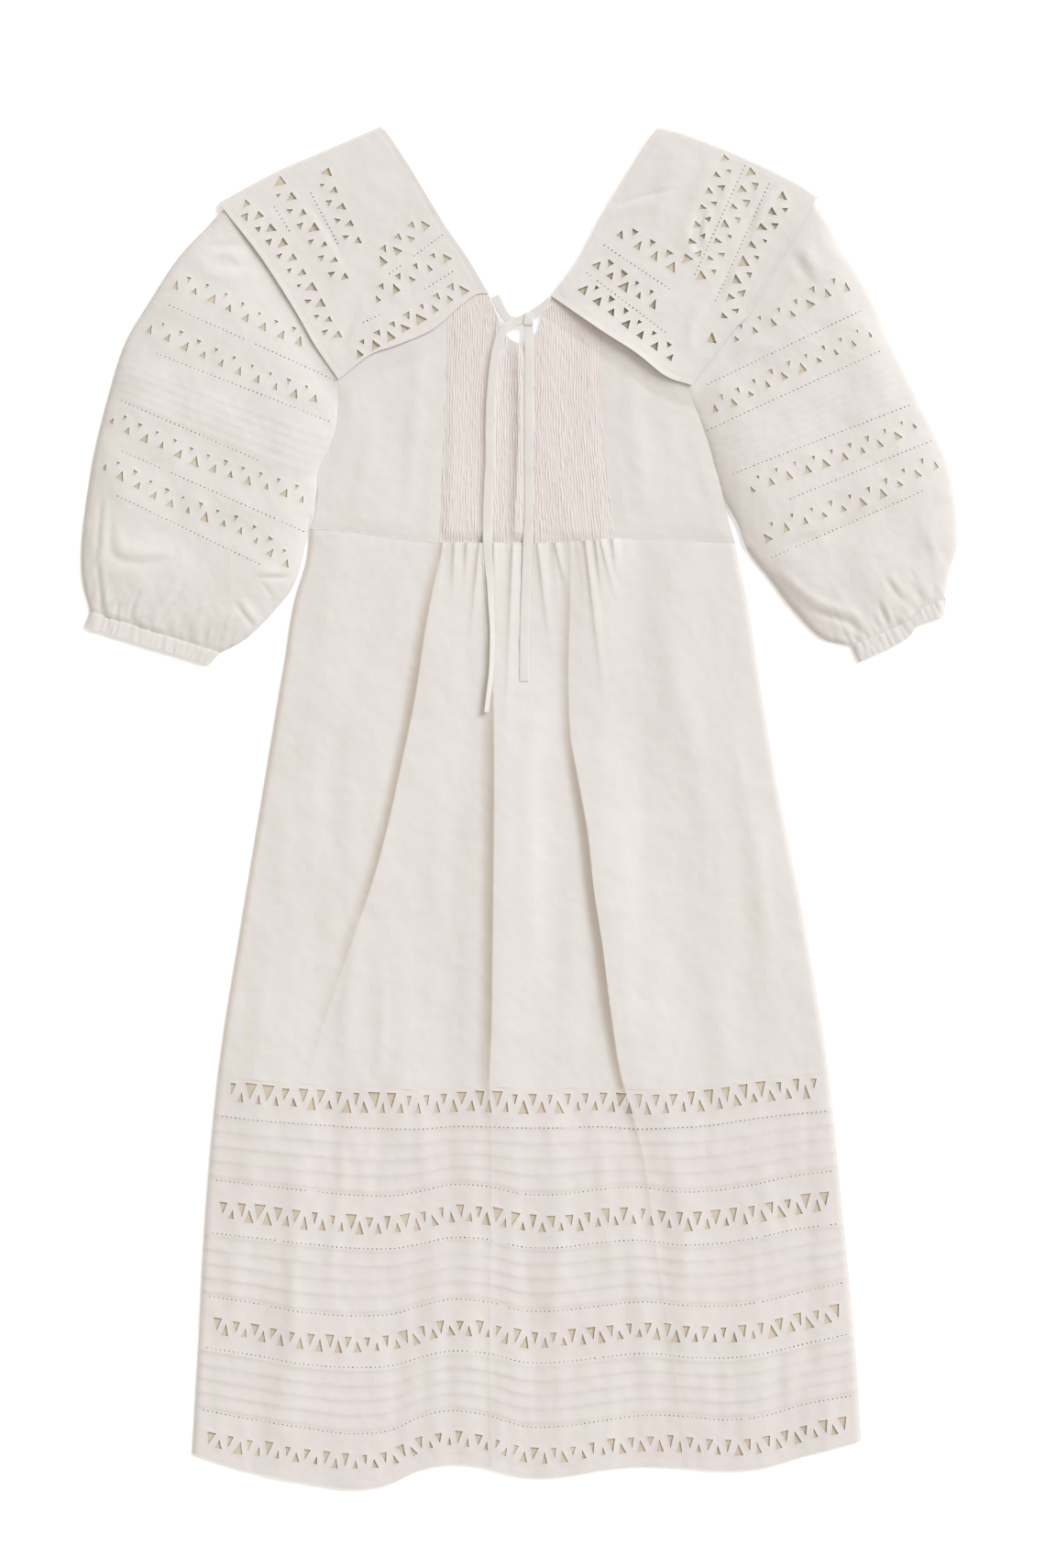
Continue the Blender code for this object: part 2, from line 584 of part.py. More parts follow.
def make_skirt(cloth, border):
    for name, material, top, top_shift, bottom, bottom_shift in (
            ("back_skirt", cloth, "waist", -SEAM / 2, "row1", BORDER_SEAM + SEAM / 2),
            ("back_border", border, "row1", BORDER_SEAM - SEAM / 2, "hem", BACK_INSET)):
        outline = moved_out(skirt_outline(top, top_shift, bottom, bottom_shift, 24), -BACK_INSET / 2)
        cloth_panel(name, material, outline, lambda p: np.full(len(p), CLOTH), lambda p: np.zeros(len(p)))

    def under(points):
        return LAYER + FOLD_UNDER * fold_heights(points, SKIRT_FOLDS)

    def skirt_top(points):
        return LAYER + CLOTH + fold_heights(points, SKIRT_FOLDS) + gather_heights(points)

    folds = fold_creases(SKIRT_FOLDS, 36)
    outline = skirt_outline("waist", -SEAM / 2, "row1", BORDER_SEAM + SEAM / 2, 44)
    cloth_panel("front_skirt", cloth, outline, skirt_top, under, creases=folds + gather_creases(),
                under_creases=folds)

    outline = skirt_outline("row1", BORDER_SEAM - SEAM / 2, "hem", 0, 36)
    cuts = []
    for name, cutwork in zip(("row1", "row2", "row3", "row4"), SKIRT_CUTWORK):
        line = course_line(name, 40, -cutwork.height / 2, 0.012)
        cuts += triangles_along(line, cutwork, 1, outline)
    creases = []
    tucks = []
    for upper, lower in (("row1", "row2"), ("row2", "row3"), ("row3", "row4")):
        for edge, below in tuck_lines(upper, lower, 11):
            creases += [edge, below]
            tucks.append(edge)

    def border_top(points):
        rise = np.zeros(len(points))
        for edge in tucks:
            y = np.interp(points[:, 0], edge[:, 0], edge[:, 1])
            above = points[:, 1] - y
            rise = np.maximum(rise, tuck_height(above, TUCK_RISE, TUCK_DEPTH))
        return LAYER + CLOTH + fold_heights(points, SKIRT_FOLDS) + rise

    folds = fold_creases(SKIRT_FOLDS[1:], 60)
    cloth_panel("front_border", border, outline, border_top, under, cuts=cuts, creases=creases + folds,
                under_creases=folds)


# Bodice

def smock_columns():
    """Lines of points down the crests and grooves of the smocking's tucks."""
    left, right = curve_through(SMOCK_LEFT[::-1], 10), curve_through(SMOCK_RIGHT, 10)
    lines = []
    columns = 2 * SMOCK_TUCKS
    for k in range(1, columns):
        line = []
        for j, y in enumerate(np.linspace(237, 446, SMOCK_COURSES)):
            x0 = np.interp(y, left[:, 1], left[:, 0])
            x1 = np.interp(y, right[:, 1], right[:, 0])
            waver = SMOCK_WAVER * (1 if (j + k // 2) % 2 else -1)
            line.append((x0 + (x1 - x0) * k / columns + waver, y))
        lines.append(np.array(line))
    return lines


def smocking(points):
    """Height of the smocking above its grooves."""
    left, right = curve_through(SMOCK_LEFT[::-1], 10), curve_through(SMOCK_RIGHT, 10)
    x0 = np.interp(points[:, 1], left[:, 1], left[:, 0])
    x1 = np.interp(points[:, 1], right[:, 1], right[:, 0])
    across = (points[:, 0] - x0) / (x1 - x0) * 2 * SMOCK_TUCKS
    return np.where(np.round(across).astype(int) % 2 == 1, 1.0, 0.0)


def make_bodice(cloth, smock):
    waist = course_line("waist", 100)
    corner_left, corner_right = np.array([-70, 231]), np.array([82, 236])
    on_left = waist[waist[:, 0] < corner_left[0]]
    on_right = waist[waist[:, 0] > corner_right[0]]
    middle = waist[(waist[:, 0] > corner_left[0]) & (waist[:, 0] < corner_right[0])]
    smock_left, smock_right = curve_through(SMOCK_LEFT, 12), curve_through(SMOCK_RIGHT, 12)

    outline = closed_outline(middle + np.array([0, SEAM / 2]), smock_right,
                             SMOCK_TOP_RIGHT, curve_through(KEYHOLE, 5),
                             SMOCK_TOP_LEFT, smock_left)
    outline = moved_out(outline, -SEAM / 2)
    folds = fold_creases(SMOCK_FOLDS, 24)
    levels = collar_creases()

    def panel_under(points):
        return front_floor(points) + FOLD_UNDER * fold_heights(points, SMOCK_FOLDS) * (1 - under_collar(points))

    def panel_top(points):
        hidden = under_collar(points)
        raised = SMOCK_RIDGE * smocking(points) - SMOCK_GROOVE + fold_heights(points, SMOCK_FOLDS)
        return front_floor(points) + CLOTH + raised * (1 - hidden)

    cloth_panel("smocked_panel", smock, outline, panel_top, panel_under, creases=smock_columns(),
                under_creases=folds + levels)

    outline = closed_outline(on_left, smock_left[::-1], SMOCK_TOP_LEFT[::-1],
                             curve_through(COLLAR_LEFT["neck"], 14)[1:-1],
                             SHOULDER_LEFT,
                             curve_through(SLEEVE_LEFT["armhole"], 14)[::-1],
                             curve_through(SLEEVE_LEFT["inner"][4:], 14)[::-1])
    left = moved_out(outline, -SEAM_INSET)
    outline = closed_outline(on_right, curve_through(SLEEVE_RIGHT["inner"][5:], 14),
                             curve_through(SLEEVE_RIGHT["armhole"], 14),
                             SHOULDER_RIGHT,
                             curve_through(COLLAR_RIGHT["neck"], 14)[::-1][1:-1],
                             SMOCK_TOP_RIGHT[::-1], smock_right[::-1])
    right = moved_out(outline, -SEAM_INSET)
    for name, outline in (("bodice_side_left", left), ("bodice_side_right", right)):
        cloth_panel(name, cloth, outline, lambda p: front_floor(p) + CLOTH, front_floor, creases=levels)

    outline = closed_outline(waist[::4] + np.array([0, SEAM]),
                             curve_through(SLEEVE_RIGHT["inner"][5:], 14),
                             curve_through(SLEEVE_RIGHT["armhole"], 14),
                             SHOULDER_RIGHT,
                             curve_through(COLLAR_RIGHT["neck"], 14)[::-1][1:],
                             BACK_KEYHOLE,
                             curve_through(COLLAR_LEFT["neck"], 14)[:-1],
                             SHOULDER_LEFT,
                             curve_through(SLEEVE_LEFT["armhole"], 14)[::-1],
                             curve_through(SLEEVE_LEFT["inner"][4:], 14)[::-1])
    outline = moved_out(outline, -BACK_INSET)
    cloth_panel("back_bodice", cloth, outline, lambda p: back_floor(p) + CLOTH, back_floor, creases=levels)


# Sleeves and cuffs

def make_sleeve(side, table, cloth):
    outline = closed_outline(curve_through(table["outer"], 16), curve_through(table["cuff"], 8),
                             curve_through(table["inner"], 16), curve_through(table["armhole"], 16),
                             curve_through(table["cap"], 16))
    front = moved_out(outline, -SEAM_INSET)
    back = moved_out(outline, -BACK_INSET)
    levels = collar_creases()
    cloth_panel(f"sleeve_{side}_back", cloth, back, lambda p: back_floor(p) + CLOTH, back_floor, creases=levels)

    cuts = []
    for row in table["rows"]:
        cuts += triangles_along(row, SLEEVE_CUTWORK, -1, front)
    seam = curve_through(table["cuff"], 8)
    run = seam[-1] - seam[0]
    length = float(np.linalg.norm(run))
    run = run / length
    up = np.array([-run[1], run[0]])
    if np.dot(np.array(table["outer"][0]) - seam[0], up) < 0:
        up = -up
    tucks = []
    for k in range(SLEEVE_TUCKS):
        t = k / (SLEEVE_TUCKS - 1)
        tucks.append(curve_through([a * (1 - t) + b * t for a, b in
                                    zip(np.array(table["tucks"][0]), np.array(table["tucks"][1]))], 30))

    def puff(points):
        from_edge = distance_to_line(points, front, True)
        return PUFF * (1 - np.exp(-from_edge / PUFF_RUN)) * (1 - under_collar(points))

    def top(points):
        open_cloth = 1 - under_collar(points)
        above = distance_to_line(points, seam, False)
        along = (points - seam[0]) @ run / length
        fade = np.exp(-above / CUFF_GATHER_RUN) * (above > SEAM * 2)
        gathers = CUFF_GATHER_HEIGHT * np.cos(along * CUFF_GATHERS * 2 * math.pi) * fade
        rise = np.zeros(len(points))
        for tuck in tucks:
            away = points[:, 1] - np.interp(points[:, 0], *tuck[np.argsort(tuck[:, 0])].T)
            rise = np.maximum(rise, tuck_height(away, SLEEVE_TUCK_RISE, SLEEVE_TUCK_DEPTH))
        return front_floor(points) + CLOTH + puff(points) + open_cloth * (gathers + rise)

    def under(points):
        return front_floor(points) + PUFF_UNDER * puff(points)

    lines = []
    for tuck in tucks:
        lines += [tuck, tuck - np.array([0, TUCK_STEP])]
    for k in range(2 * CUFF_GATHERS + 1):
        start = seam[0] + run * length * k / (2 * CUFF_GATHERS)
        lines.append(np.array([start + up * height for height in CUFF_GATHER_LINE]))
    spots = grid_spots(front, 30)
    cloth_panel(f"sleeve_{side}_front", cloth, front, top, under, cuts=cuts, creases=levels + lines,
                spots=spots, under_creases=levels, under_spots=spots)

    cuff = moved_out(closed_outline(curve_through(table["cuff"], 8), np.array(table["mouth"])), -SEAM_INSET)
    for half, floor in (("front", LAYER), ("back", 0.0)):
        cloth_panel(f"cuff_{side}_{half}", cloth, cuff, lambda p, z=floor: np.full(len(p), z + CLOTH),
                    lambda p, z=floor: np.full(len(p), z))


# Collar

def make_collar(side, table, outline, cloth):
    fold = curve_through(table["fold"], 14)

    def near_fold(points):
        return distance_to_line(points, fold, False) < LIP_WIDTH

    def front_under(points):
        return np.where(near_fold(points), LIP_SPLIT + SEAM, COLLAR_FLOOR)

    def back_top(points):
        return np.where(near_fold(points), LIP_SPLIT, CLOTH)

    lines = []
    run = fold[-1] - fold[0]
    inward = np.array([-run[1], run[0]]) / np.linalg.norm(run)
    if np.dot(outline.mean(axis=0) - fold[0], inward) < 0:
        inward = -inward
    for away in LIP_LINES:
        lines.append(fold + inward * away)
    cuts = []
    for row in table["rows"]:
        cuts += triangles_along(row, COLLAR_CUTWORK, -1, outline)
    cloth_panel(f"collar_{side}_front", cloth, outline, lambda p: np.full(len(p), COLLAR_FLOOR + CLOTH),
                front_under, cuts=cuts, under_creases=lines)
    cloth_panel(f"collar_{side}_back", cloth, outline, back_top, lambda p: np.zeros(len(p)), creases=lines,
                under_creases=())


# Neck tie

def resting_height(trees, x, y, reach):
    """Highest cloth under a small patch, or nothing."""
    found = []
    steps = np.linspace(-reach, reach, 13)
    for dx in steps:
        for dy in steps:
            for tree in trees:
                hit = tree.ray_cast(Vector(((x + dx) * MM, (y + dy) * MM, 1)), Vector((0, 0, -1)))
                if hit[0]:
                    found.append(hit[0].z / MM)
    return max(found, default=None)


def tree_of(made):
    return BVHTree.FromPolygons([v.co for v in made.data.vertices], [p.vertices for p in made.data.polygons])


def make_tie(name, table, trees, material):
    """A flat strap along its route, lying on what is under it."""
    route = curve_through([(row.x, row.y) for row in table], 12)
    knots = np.concatenate([[0], np.cumsum([math.dist(a[:2], b[:2]) for a, b in zip(table, table[1:])])])
    along = np.concatenate([[0], np.cumsum(np.linalg.norm(np.diff(route, axis=0), axis=1))])
    rolls = np.radians(np.interp(along / along[-1], knots / knots[-1], [row.roll for row in table]))
    floor = []
    for x, y in route:
        below = resting_height(trees, x, y, TIE_WIDTH / 2 + 2)
        floor.append(max(TIE_OVER_GAP, (below or 0) + TIE_CLEAR))
    floor = np.array(floor)
    floor = np.maximum(floor, np.maximum(np.roll(floor, 1), np.roll(floor, -1)))
    points = []
    for i, (x, y) in enumerate(route):
        run = route[min(i + 1, len(route) - 1)] - route[max(i - 1, 0)]
        run = run / np.linalg.norm(run)
        side = np.array([run[1], -run[0], 0.0])
        across = side * math.cos(rolls[i]) + np.array([0, 0, 1.0]) * math.sin(rolls[i])
        normal = np.array([0, 0, 1.0]) * math.cos(rolls[i]) - side * math.sin(rolls[i])
        half = abs(math.sin(rolls[i])) * TIE_WIDTH / 2 + abs(math.cos(rolls[i])) * TIE_THICK / 2
        middle = np.array([x, y, floor[i] + half])
        for a, n in ((-1, -1), (1, -1), (1, 1), (-1, 1)):
            points.append(tuple(middle + across * a * TIE_WIDTH / 2 + normal * n * TIE_THICK / 2))
    faces = [(0, 1, 2, 3)]
    for i in range(len(route) - 1):
        for k in range(4):
            a, b = 4 * i + k, 4 * i + (k + 1) % 4
            faces.append((a, a + 4, b + 4, b))
    last = 4 * (len(route) - 1)
    faces.append((last + 3, last + 2, last + 1, last))
    return cloth_object(name, material, points, faces)


def make_knot(trees, material):
    width, depth, height = KNOT_SIZE
    floor = resting_height(trees, *KNOT_AT, max(width, depth) / 2) + SEAM
    middle = (KNOT_AT[0] * MM, KNOT_AT[1] * MM, (floor + height / 2) * MM)
    bpy.ops.mesh.primitive_cube_add(size=1, location=middle)
    knot = bpy.context.object
    knot.name = "tie_knot"
    knot.data.transform(((width * MM, 0, 0, 0), (0, depth * MM, 0, 0), (0, 0, height * MM, 0), (0, 0, 0, 1)))
    bevel = knot.modifiers.new("rounded", "BEVEL")
    bevel.width = 0.9 * MM
    bevel.segments = 2
    knot.data.materials.append(material)
    for collection in list(knot.users_collection):
        collection.objects.unlink(knot)
    DRESS.objects.link(knot)


for old in list(bpy.data.objects):
    bpy.data.objects.remove(old)
DRESS = bpy.data.collections.new("puff_sleeve_dress")
bpy.context.scene.collection.children.link(DRESS)

OUTLINE_COLLAR_LEFT = collar_outline(COLLAR_LEFT)
OUTLINE_COLLAR_RIGHT = collar_outline(COLLAR_RIGHT)


def main():
    cloth = principled("cloth", COLOURS["cloth"])
    border = principled("border", COLOURS["border"])
    smock = principled("smocking", COLOURS["smocking"])
    tie = principled("tie", COLOURS["tie"])
    make_skirt(cloth, border)
    make_bodice(cloth, smock)
    make_sleeve("left", SLEEVE_LEFT, cloth)
    make_sleeve("right", SLEEVE_RIGHT, cloth)
    make_collar("left", COLLAR_LEFT, OUTLINE_COLLAR_LEFT, cloth)
    make_collar("right", COLLAR_RIGHT, OUTLINE_COLLAR_RIGHT, cloth)
    laid_on = [tree_of(DRESS.objects[name]) for name in ("smocked_panel", "front_skirt")]
    left = make_tie("tie_left", TIE_LEFT, laid_on, tie)
    right = make_tie("tie_right", TIE_RIGHT, laid_on + [tree_of(left)], tie)
    make_knot([tree_of(left), tree_of(right)], tie)


main()
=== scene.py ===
"""Looks of the puff sleeve dress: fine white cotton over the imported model, seen from straight above.

Tables are in millimetres, in the model's own frame: +Y to the neck, +Z up, and the floor at z = 0.
"""
import math
from collections import namedtuple

import bpy
import numpy as np
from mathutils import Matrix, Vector
from mathutils.bvhtree import BVHTree
from mathutils.geometry import delaunay_2d_cdt
from mathutils.kdtree import KDTree


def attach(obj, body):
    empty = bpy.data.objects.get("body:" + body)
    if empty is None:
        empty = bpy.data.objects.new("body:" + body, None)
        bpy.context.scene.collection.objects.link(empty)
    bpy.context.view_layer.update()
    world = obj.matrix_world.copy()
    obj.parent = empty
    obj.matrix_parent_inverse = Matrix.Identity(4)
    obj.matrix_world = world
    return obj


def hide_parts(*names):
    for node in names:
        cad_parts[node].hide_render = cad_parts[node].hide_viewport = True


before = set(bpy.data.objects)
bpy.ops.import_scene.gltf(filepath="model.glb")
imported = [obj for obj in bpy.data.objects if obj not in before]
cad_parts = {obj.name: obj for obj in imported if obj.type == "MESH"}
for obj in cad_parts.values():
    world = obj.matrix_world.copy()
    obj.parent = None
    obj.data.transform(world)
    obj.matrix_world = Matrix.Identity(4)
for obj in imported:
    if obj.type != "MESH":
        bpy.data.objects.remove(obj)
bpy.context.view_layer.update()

MM = 0.001
BATCH = 4000           # points worked out at a time

# Driving sizes
CLOTH = 1.5            # thickness of the cloth wall
SEAM = 0.3             # space kept between two pieces at a seam
BACK_INSET = 0.8       # the back panels end this far inside the front ones
LAYER = CLOTH + SEAM   # one layer of cloth on another
TIE_WIDTH = 8.0
UNDER_COLLAR_RISE = 2.2                                   # front cloth between the collar's halves
UNDER_COLLAR_MORE = 0.4                                   # how much further up it lies here
COLLAR_FLOOR = LAYER + UNDER_COLLAR_RISE + LAYER          # underside of the collar's front half
COLLAR_REACH = (1.0, 18.0)   # the cloth under the collar is level to the first, back down at the second
FOLD_CORNER = 2.6      # from the ends of the shoulder fold to the flat cloth beside it

# Cutwork: rows of cut-out triangles, one point down and one point up in each repeat.
# These are the sizes of the first one of each repeat.
Cutwork = namedtuple("Cutwork", "pitch base height")
SKIRT_CUTWORK = [Cutwork(15.6, 8.0, 12.0), Cutwork(15.9, 7.6, 11.5), Cutwork(16.4, 7.2, 11.0),
                 Cutwork(16.8, 7.0, 10.5)]
SLEEVE_CUTWORK = Cutwork(17.0, 6.4, 7.6)

# Sides of the skirt: how far left and right of the middle it reaches at each height
SkirtSide = namedtuple("SkirtSide", "y left right")
SKIRT_SIDES = [SkirtSide(*row) for row in (
    (243, -183, 186), (212, -187, 192), (186, -195, 198), (122, -206, 208), (32, -221, 223),
    (-96, -242, 248), (-224, -262, 269), (-352, -274, 282), (-480, -281, 294), (-564, -286, 299),
)]

# Lines that run across the skirt: their heights, at steps from the left side (0) to the right (1)
Course = namedtuple("Course", "across waist row1 row2 row3 row4 hem")
COURSES = [Course(*row) for row in (
    (0.00, 243, -238, -342, -443, -542, -564), (0.08, 241, -243, -347, -450, -551, -578),
    (0.16, 237, -246, -352, -458, -558, -587), (0.24, 233, -249, -356, -461, -564, -594),
    (0.30, 231, -250, -356, -459, -560, -589), (0.34, 231, -250, -352, -452, -549, -578),
    (0.38, 231, -248, -347, -447, -544, -573), (0.44, 231, -248, -348, -449, -548, -575),
    (0.50, 231, -249, -355, -457, -558, -584), (0.56, 231, -249, -355, -456, -557, -583),
    (0.62, 232, -248, -351, -452, -552, -577), (0.68, 234, -250, -349, -449, -548, -575),
    (0.74, 235, -249, -353, -452, -549, -576), (0.80, 234, -247, -352, -453, -552, -578),
    (0.86, 233, -242, -347, -449, -548, -575), (0.92, 232, -238, -340, -441, -538, -565),
    (1.00, 231, -234, -334, -431, -530, -553),
)]
BORDER_SEAM = 4.0      # the border is sewn on this far above its first row of cutwork
TUCKS = 5              # tucks between two rows of cutwork
TUCK_BELOW = 19.0      # first tuck, below the row above
TUCK_ABOVE = 21.0      # last tuck, above the row below
TUCK_DEPTH = 7.0       # cloth above a tuck's edge that it raises

# Folds: how far the cloth takes to rise to the crest and to fall beyond it, and rows that give the place and
# the height of the crest
FoldRow = namedtuple("FoldRow", "y x height")
Fold = namedtuple("Fold", "rise fall rows")


def fold_of(rise, fall, *rows):
    return Fold(rise, fall, [FoldRow(*row) for row in rows])


SKIRT_FOLDS = [
    fold_of(5.5, 70,
            (232, -67, 1.2), (157, -82, 2.8), (92, -92, 3.2), (30, -105, 3.2), (-24, -117, 3.1),
            (-73, -131, 2.4), (-96, -139, 1.2), (-130, -151, 0.8), (-176, -167, 0.7), (-224, -181, 0.4),
            (-250, -188, 0.0)),
    fold_of(7, 60,
            (232, -30, 0.6), (144, -26, 1.4), (94, -23, 2.2), (56, -22.6, 2.7), (-8, -22.6, 3.0),
            (-73, -23.2, 3.1), (-137, -24, 3.1), (-201, -25, 2.9), (-233, -26.5, 2.0), (-288, -25, 1.0),
            (-392, -25, 0.9), (-496, -26, 0.9), (-600, -24, 0.8)),
    fold_of(5, 80,
            (232, 45, 0.8), (168, 43.5, 1.3), (104, 42.5, 1.4), (56, 45, 1.9), (30, 49.7, 2.8),
            (-25, 59.4, 3.9), (-73, 64.8, 4.3), (-121, 72.2, 4.2), (-179, 79.3, 3.8), (-233, 88, 2.3),
            (-288, 104, 0.9), (-392, 120, 0.5), (-496, 136, 0.4), (-600, 150, 0.3)),
]

# Gathers below the waist seam: each a small ridge that fades out on the way down
Gather = namedtuple("Gather", "x y length lean")
GATHERS = [Gather(*row) for row in (
    (-57, 228, 46, -0.04), (-35, 229, 80, -0.10), (-34, 226, 60, 0.12), (-23, 225, 52, 0.02),
    (-6, 229, 140, -0.04), (15, 229, 82, 0.12), (30, 229, 40, 0.24), (57, 227, 116, 0.12),
    (66, 227, 40, 0.12), (70, 229, 46, 0.26), (81, 229, 30, 0.10), (-46, 229, 34, -0.06),
)]
GATHER_RISE, GATHER_FALL = 2.5, 8.0

# Bodice: the smocked centre panel with its tucks and two soft pleats, the keyhole, shoulders and sides
SMOCK_TUCKS = 60
SMOCK_LEFT = [(-62, 441), (-63, 409), (-66, 320), (-70, 231)]
SMOCK_RIGHT = [(82, 236), (71, 339), (70, 416), (68, 430)]
SMOCK_TOP_LEFT = np.array([(-30, 450), (-40, 453), (-62, 441)])
SMOCK_TOP_RIGHT = np.array([(68, 430), (48, 441), (30, 449)])
KEYHOLE = [(29, 446), (22, 432), (17, 416), (12, 411), (6, 404), (1, 403), (-10, 410), (-14, 417),
           (-17, 419), (-26, 445)]
SHOULDER_LEFT = np.array([(-124, 588), (-166, 570), (-189, 560)])
SHOULDER_RIGHT = np.array([(189, 565), (146, 582), (124, 588)])
BODICE_SIDE_LEFT = [(-180, 250), (-177, 262), (-176.5, 278), (-176, 293), (-161, 328), (-158, 372)]
BODICE_SIDE_RIGHT = [(183, 248), (179, 264), (175, 282), (165, 318), (148, 364)]
SMOCK_FOLDS = [
    fold_of(3, 14,
            (446, -21, 0.0), (418, -20, 0.7), (397, -24.5, 1.2), (350, -29, 1.3), (303, -30, 1.2),
            (256, -32, 1.0), (231, -33, 0.7)),
    fold_of(5, 16,
            (410, -3, 0.0), (392, -2, 1.3), (340, -1, 1.9), (280, -3, 1.5), (231, -5, 0.9)),
]

# Collar: the fold over the shoulder, the neck edge, and the two sewn edges that meet at the lower corner
COLLAR_LEFT = {
    "fold": [(-122, 594), (-166, 575), (-214, 554), (-262, 528)],
    "outer": [(-262, 528), (-257, 520), (-226, 480), (-197, 435), (-178, 402), (-158, 373)],
    "lower": [(-158, 373), (-131, 394), (-107, 403), (-77, 416), (-53, 436), (-38, 447), (-27, 448)],
    "neck": [(-27, 448), (-46, 480), (-66, 509), (-95, 557), (-114, 586), (-122, 594)],
    "rows": [[(-172, 560), (-157, 524), (-138, 486)], [(-215, 551), (-186, 512), (-149, 455)],
             [(-245, 531), (-214, 499), (-185, 456), (-156, 404)], [(-78, 513), (-104, 489), (-127, 472)],
             [(-57, 484), (-93, 462), (-132, 439)], [(-43, 456), (-92, 424), (-147, 392)]],
}
COLLAR_RIGHT = {
    "fold": [(122, 594), (146, 588), (194, 569), (242, 546), (261, 533)],
    "outer": [(261, 533), (257, 527), (228, 478), (214, 455), (202, 432), (185, 414), (150, 368)],
    "lower": [(150, 368), (127, 376), (101, 396), (70, 416), (27, 446)],
    "neck": [(27, 446), (53, 480), (74, 519), (97, 557), (115, 586), (122, 594)],
    "rows": [[(183, 572), (160, 522), (145, 470)], [(206, 560), (182, 512), (156, 455)],
             [(235, 539), (207, 496), (189, 456), (176, 420)], [(81, 504), (108, 488), (141, 467)],
             [(62, 478), (93, 454), (124, 435)], [(50, 457), (95, 421), (138, 388)],
             [(174, 417), (164, 399)]],
}

# Sleeves: outer edge from the collar down, cuff seam, inner edge up, and the armhole seam under the collar
SLEEVE_LEFT = {
    "outer": [(-253, 527), (-271, 509), (-298, 480), (-323, 442), (-345, 404), (-361, 352), (-373, 301),
              (-382, 237), (-382, 200), (-375, 171)],
    "cuff": [(-375, 171), (-262, 135)],
    "mouth": [(-271, 125), (-380, 158)],
    "inner": [(-262, 135), (-238, 148), (-213, 173), (-195, 199), (-182, 252), (-177, 276), (-176, 293),
              (-161, 328), (-158, 372)],
    "armhole": [(-158, 372), (-172, 440), (-183, 504), (-190, 558)],
    "cap": [(-190, 558), (-214, 549), (-253, 527)],
    "rows": [[(-307, 458), (-273, 446), (-247, 432), (-218, 417), (-184, 404)],
             [(-330, 421), (-311, 412), (-274, 394), (-236, 377), (-199, 362), (-171, 355)],
             [(-362, 342), (-342, 329), (-314, 317), (-283, 302), (-245, 288), (-206, 275), (-182, 266)],
             [(-368, 301), (-338, 284), (-310, 268), (-278, 255), (-240, 240), (-207, 215), (-195, 212)]],
    "tucks": ([(-340, 384), (-250, 350), (-172, 322)], [(-350, 358), (-260, 320), (-186, 292)]),
}
SLEEVE_RIGHT = {
    "outer": [(258, 527), (271, 509), (288, 480), (310, 442), (327, 404), (351, 352), (375, 301), (383, 237),
              (375, 205), (372, 184)],
    "cuff": [(372, 182), (352, 174), (340, 163), (326, 156), (290, 141)],
    "mouth": [(296, 127), (337, 147), (347, 159), (370, 167)],
    "inner": [(290, 141), (263, 148), (238, 173), (218, 199), (199, 224), (190, 248), (178, 272), (165, 318),
              (148, 364)],
    "armhole": [(148, 364), (160, 430), (178, 510), (190, 564)],
    "cap": [(190, 564), (219, 551), (258, 527)],
    "rows": [[(180, 405), (213, 420), (241, 432), (264, 447), (293, 456)],
             [(162, 346), (188, 354), (225, 374), (254, 387), (288, 403), (312, 416)],
             [(195, 274), (224, 286), (269, 301), (308, 315), (338, 329), (350, 338)],
             [(208, 231), (231, 244), (268, 256), (310, 271), (346, 291), (370, 302)]],
    "tucks": ([(178, 322), (250, 352), (322, 384)], [(190, 300), (262, 330), (336, 358)]),
}
SLEEVE_TUCKS = 5
SLEEVE_TUCK_DEPTH = 5.0

# Neck tie: the middle line of each half, with its turn about that line in degrees
TieRow = namedtuple("TieRow", "x y roll")
TIE_LEFT = [TieRow(*row) for row in (
    (-21.5, 446, 0), (-16, 434, 0), (-9, 425, 0), (-1, 424, 0), (5, 425, 0), (8, 418, 0), (8, 400, 0),
    (8, 380, 0), (8, 350, 0), (8, 320, 0), (8, 290, 0), (8, 260, 0), (7, 235, 0), (6, 210, 0),
    (5, 180, 0), (4, 145, 0), (4, 110, 0),
)]
TIE_RIGHT = [TieRow(*row) for row in (
    (26.5, 441, 0), (19, 435, 0), (11, 430, 0), (2, 425, 0), (-8, 422, 0), (-15, 414, 0), (-20, 400, 0),
    (-24, 372, 0), (-26, 340, 0), (-26, 305, 0), (-28, 265, 0), (-28, 225, 0), (-26, 200, 20),
    (-25, 175, 45), (-24, 150, 65), (-25, 118, 65), (-29, 83, 60),
)]
TIE_OVER_GAP = 4.6     # height of the tie where it spans the keyhole
KNOT_SIZE = (8.8, 11.5, 2.2)
KNOT_AT = (7.6, 426.0)

# What the solids leave to this script

SHELL = 0.5            # thickness of the cloth at its rims
SLACK = 0.3            # how much further down the underside lies away from the rims
INNER_GAP = 0.85       # the inner face of the back lies this far under the front's top
UNDER_COLLAR_INSET = 3.0                 # cloth this far inside the collar's outline is painted with the tan shade tone
BACK_TOP = 0.9         # top of the back panels where they lie flat
REST = 0.08            # underside of what lies on the floor
FINE, MIDDLE, COARSE = 2.2, 4.0, 8.0     # spacing of points on top, inside and underneath
EDGE_DROP, EDGE_RUN = 1.5, 5.0           # the front turns down to meet the back along a folded side
FOLD_LIFT, SMOCK_FOLD_LIFT = 1.45, 1.8   # shown height of a fold against the height in its table
FOLD_LINES = (-9.0, -6.5, -4.0, -2.0, -0.8, 0.0, 1.0)    # lines of points beside a crest, on top
FOLD_LINES_UNDER = (-8.0, -5.0, 0.0, 4.0)                 # and underneath
